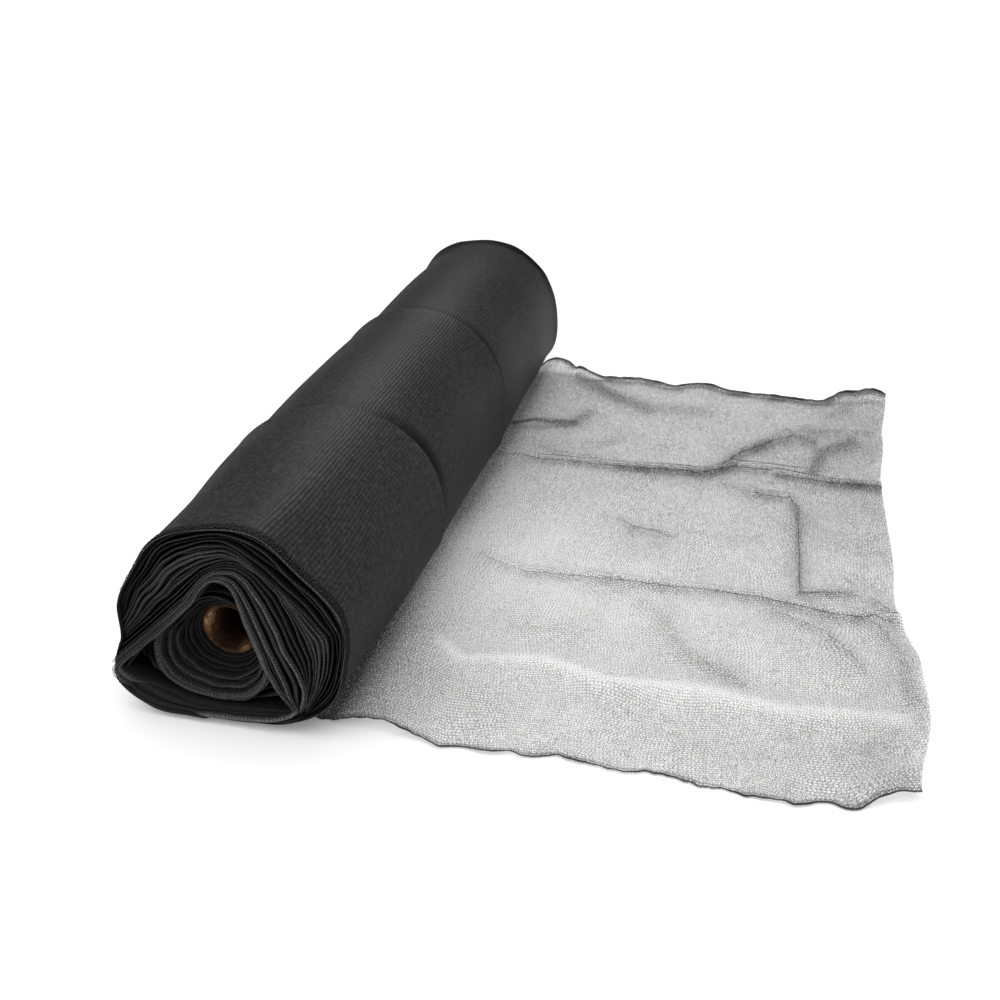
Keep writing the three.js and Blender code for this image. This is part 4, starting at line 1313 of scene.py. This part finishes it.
def stitch_tree(name, material):
    """Puts a small yarn loop on every point, along its heading and turned to its facing."""
    tree = bpy.data.node_groups.new(name, "GeometryNodeTree")
    tree.interface.new_socket("Points", in_out="INPUT", socket_type="NodeSocketGeometry")
    sockets = {}
    for label in ("Loop length", "Loop width", "Yarn radius", "Tilt"):
        socket = tree.interface.new_socket(label, in_out="INPUT", socket_type="NodeSocketFloat")
        sockets[label] = socket.identifier
    tree.interface.new_socket("Loops", in_out="OUTPUT", socket_type="NodeSocketGeometry")

    def node(kind, inputs, settings=None):
        """The first output in use of a new node."""
        made = tree.nodes.new(kind)
        for key, value in (settings or {}).items():
            setattr(made, key, value)
        for key, value in inputs.items():
            if isinstance(value, bpy.types.NodeSocket):
                tree.links.new(value, made.inputs[key])
            else:
                made.inputs[key].default_value = value
        return next((socket for socket in made.outputs if socket.enabled), None)

    def circle(points, radius):
        inputs = {"Resolution": points, "Radius": radius}
        return node("GeometryNodeCurvePrimitiveCircle", inputs, {"mode": "RADIUS"})

    def of_point(label):
        return node("GeometryNodeInputNamedAttribute", {"Name": label}, {"data_type": "FLOAT_VECTOR"})

    given = tree.nodes.new("NodeGroupInput").outputs
    size = node("ShaderNodeCombineXYZ", {"X": given["Loop length"], "Y": given["Loop width"], "Z": 1.0})
    oval = node("GeometryNodeTransform", {"Geometry": circle(8, 0.5), "Scale": size})
    yarn = circle(3, given["Yarn radius"])
    loop = node("GeometryNodeCurveToMesh", {"Curve": oval, "Profile Curve": yarn})
    along = node("FunctionNodeAlignRotationToVector", {"Vector": of_point("heading")}, {"axis": "X"})
    turned = node("FunctionNodeAlignRotationToVector", {"Rotation": along, "Vector": of_point("facing")},
                  {"axis": "Z", "pivot_axis": "X"})
    lowest = node("ShaderNodeMath", {0: given["Tilt"], 1: -1.0}, {"operation": "MULTIPLY"})
    tilt = node("FunctionNodeRandomValue", {"Min": lowest, "Max": given["Tilt"], "Seed": TILT_SEED},
                {"data_type": "FLOAT"})
    rock = node("ShaderNodeCombineXYZ", {"X": tilt, "Y": tilt, "Z": tilt})
    rocked = node("FunctionNodeRotateRotation", {"Rotation": turned, "Rotate By": rock},
                  {"rotation_space": "LOCAL"})
    loops = node("GeometryNodeInstanceOnPoints",
                 {"Points": given["Points"], "Instance": loop, "Rotation": rocked})
    real = node("GeometryNodeRealizeInstances", {"Geometry": loops})
    finished = node("GeometryNodeSetMaterial", {"Geometry": real, "Material": material})
    node("NodeGroupOutput", {"Loops": finished})
    return tree, sockets


def stitches_piece(name, tree_and_sockets, chains):
    """Chains of stitch loops; each chain gives its places, headings and facings in the roll's frame."""
    tree, sockets = tree_and_sockets
    places, headings, facings = (np.concatenate(part) for part in zip(*chains))
    mesh = bpy.data.meshes.new(name + "_places")
    mesh.vertices.add(len(places))
    fill(mesh.vertices, "co", place(places))
    for label, values in (("heading", headings), ("facing", facings)):
        fill(mesh.attributes.new(label, "FLOAT_VECTOR", "POINT").data, "vector", values)
    source = stand(name + "_places", mesh)
    modifier = source.modifiers.new("stitches", "NODES")
    modifier.node_group = tree
    size = STITCHES[name]
    modifier[sockets["Loop length"]] = size["length"] * MM
    modifier[sockets["Loop width"]] = size["width"] * MM
    modifier[sockets["Yarn radius"]] = size["radius"] * MM
    modifier[sockets["Tilt"]] = size["tilt"]
    graph = bpy.context.evaluated_depsgraph_get()
    made = bpy.data.meshes.new_from_object(source.evaluated_get(graph))
    made.name = name
    fill(made.polygons, "use_smooth", np.ones(len(made.polygons)), bool)
    bpy.data.objects.remove(source)
    return stand(name, made)


def chain_along(path, pitch, facing, closed=True):
    """Evenly spaced places along a path, with the path's heading at each."""
    if closed:
        path = np.concatenate([path, path[:1]])
    steps = np.linalg.norm(np.diff(path, axis=0), axis=-1)
    travelled = np.concatenate([[0], np.cumsum(steps)])
    spots = np.arange(pitch / 2, travelled[-1], pitch)

    def at(distance):
        return np.stack([np.interp(distance, travelled, path[:, axis]) for axis in range(3)], axis=-1)

    places = at(spots)
    headings = at(spots + HEADING_STEP) - at(spots - HEADING_STEP)
    return places, headings, np.broadcast_to(np.asarray(facing, float), places.shape)


def open_end_stitches(tree_and_sockets):
    """Stitch loops along the pale turns of the open end."""
    name = "open_end_stitches"
    chains = []
    for seed, turn in enumerate(OPEN_END_TURNS):
        if turn["tone"] < STITCHED["tone"] or turn["arc"] != LEGS:
            continue
        upper = np.arange(*turn["arc"], 360 / HALF_DEGREES)
        upper = upper[turn_covered(turn, upper % 360) < STITCHED["covered"]]
        side, depth = turn_wander(turn, seed, upper)
        across = turn["thick"] / 2 + STITCHED["outside"]
        x, z = from_tube(upper, turn_reach(turn, upper % 360, side, across))
        path = stack(x, depth + STITCHED["behind"], np.maximum(z, STITCHED["above_floor"]))
        chains.append(chain_along(path, STITCHES[name]["pitch"], (0, -1, 0), closed=False))
    return stitches_piece(name, tree_and_sockets, chains)


def rim_stitches(tree_and_sockets):
    """Rows of dark stitch loops round the outside of the open end, where the net's selvedge lies."""
    name = "rim_stitches"
    direction = directions(HALF_DEGREES)
    chains = []
    for y in RIM_STITCH_ROWS:
        x, z = roll_section(direction, np.full_like(direction, y), RIM_STITCH_STAND)
        places, headings, _ = chain_along(stack(x, y, z), STITCHES[name]["pitch"], (0, -1, 0))
        outward = places * [1, 0, 1] - [TUBE_X, 0, TUBE_HEIGHT]
        chains.append((places, headings, outward))
    return stitches_piece(name, tree_and_sockets, chains)


def loose_edge_stitches(tree_and_sockets):
    """Stitch loops along the loose end's two selvedges."""
    name = "loose_end_edge_stitches"
    out = np.linspace(0, 1, EDGE_POINTS)
    chains = []
    for across in STITCH_ACROSS:
        edge = loose_point(out, np.full_like(out, across), LAYER["stitches"])
        chains.append(chain_along(edge, STITCHES[name]["pitch"], (0, 0, 1), closed=False))
    return stitches_piece(name, tree_and_sockets, chains)


def pale_floor(material):
    half = FLOOR_HALF
    corners = np.array([(-half, -half, 0), (half, -half, 0), (half, half, 0), (-half, half, 0)])
    floor = mesh_piece("floor", corners, np.array([[0, 1, 2, 3]]), material)
    floor.location.z = -FLOOR_DROP


def pale_surround():
    """An even white light from all round, weaker where it is seen in a reflection."""
    world = bpy.data.worlds.new("studio")
    world.use_nodes = True
    nodes, links = world.node_tree.nodes, world.node_tree.links
    nodes["Background"].inputs["Color"].default_value = (1, 1, 1, 1)
    path = nodes.new("ShaderNodeLightPath")
    strength = nodes.new("ShaderNodeMath")
    strength.operation = "MULTIPLY_ADD"
    strength.inputs[1].default_value = SURROUND_REFLECTED
    strength.inputs[2].default_value = SURROUND
    links.new(path.outputs["Is Glossy Ray"], strength.inputs[0])
    links.new(strength.outputs[0], nodes["Background"].inputs["Strength"])
    bpy.context.scene.world = world


def studio_lamps():
    for lamp in LAMPS:
        light = bpy.data.lights.new(lamp["name"], lamp["kind"])
        if lamp["kind"] == "SUN":
            light.angle = lamp["size"]
        else:
            light.size = lamp["size"]
        light.energy = lamp["power"]
        holder = stand(lamp["name"], light)
        holder.visible_diffuse = lamp["kind"] == "SUN"
        holder.visible_camera = False
        holder.location = lamp["at"]
        facing = Vector(lamp["aim"]) - Vector(lamp["at"])
        holder.rotation_euler = facing.to_track_quat("-Z", "Y").to_euler()


def photo_camera():
    camera = stand("camera", bpy.data.cameras.new("camera"))
    camera.data.lens = CAMERA_LENS
    camera.data.sensor_width = CAMERA_FILM
    camera.data.clip_start = 0.01
    camera.location = place(CAMERA_AT)
    camera.rotation_euler = (math.radians(90 - CAMERA_DIP), 0, math.radians(CAMERA_TURN))
    bpy.context.scene.camera = camera
    bpy.context.scene.view_settings.view_transform = "Standard"


def build():
    pale_floor(floor_finish())
    pale_surround()
    studio_lamps()
    photo_camera()
    wound = wound_net_finish()
    turns = turn_finish()
    yarn = yarn_finish("loose yarn", 0.03)
    tree = stitch_tree("stitch loops", yarn_finish("stitch yarn", 0.035))
    dark_tree = stitch_tree("selvedge loops", yarn_finish("selvedge yarn", 0.008))

    roll = net_roll_piece(wound)
    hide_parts("net_roll")
    roll_pieces = [roll, open_end_turns(turns), far_end_turns(turns), open_end_stitches(tree),
                   rim_stitches(dark_tree)]
    core = core_tube_piece(cardboard_finish())
    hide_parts("core_tube")

    sheet = loose_sheet(sheer_net_finish())
    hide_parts("loose_end")
    extras = [loose_wales(yarn), loose_courses(yarn), crease_yarns(yarn), edge_cords(yarn),
              loose_edge_stitches(tree)]

    for piece in roll_pieces:
        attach(piece, "root")
    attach(core, "root")
    for piece in [sheet] + extras:
        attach(piece, "root")


build()
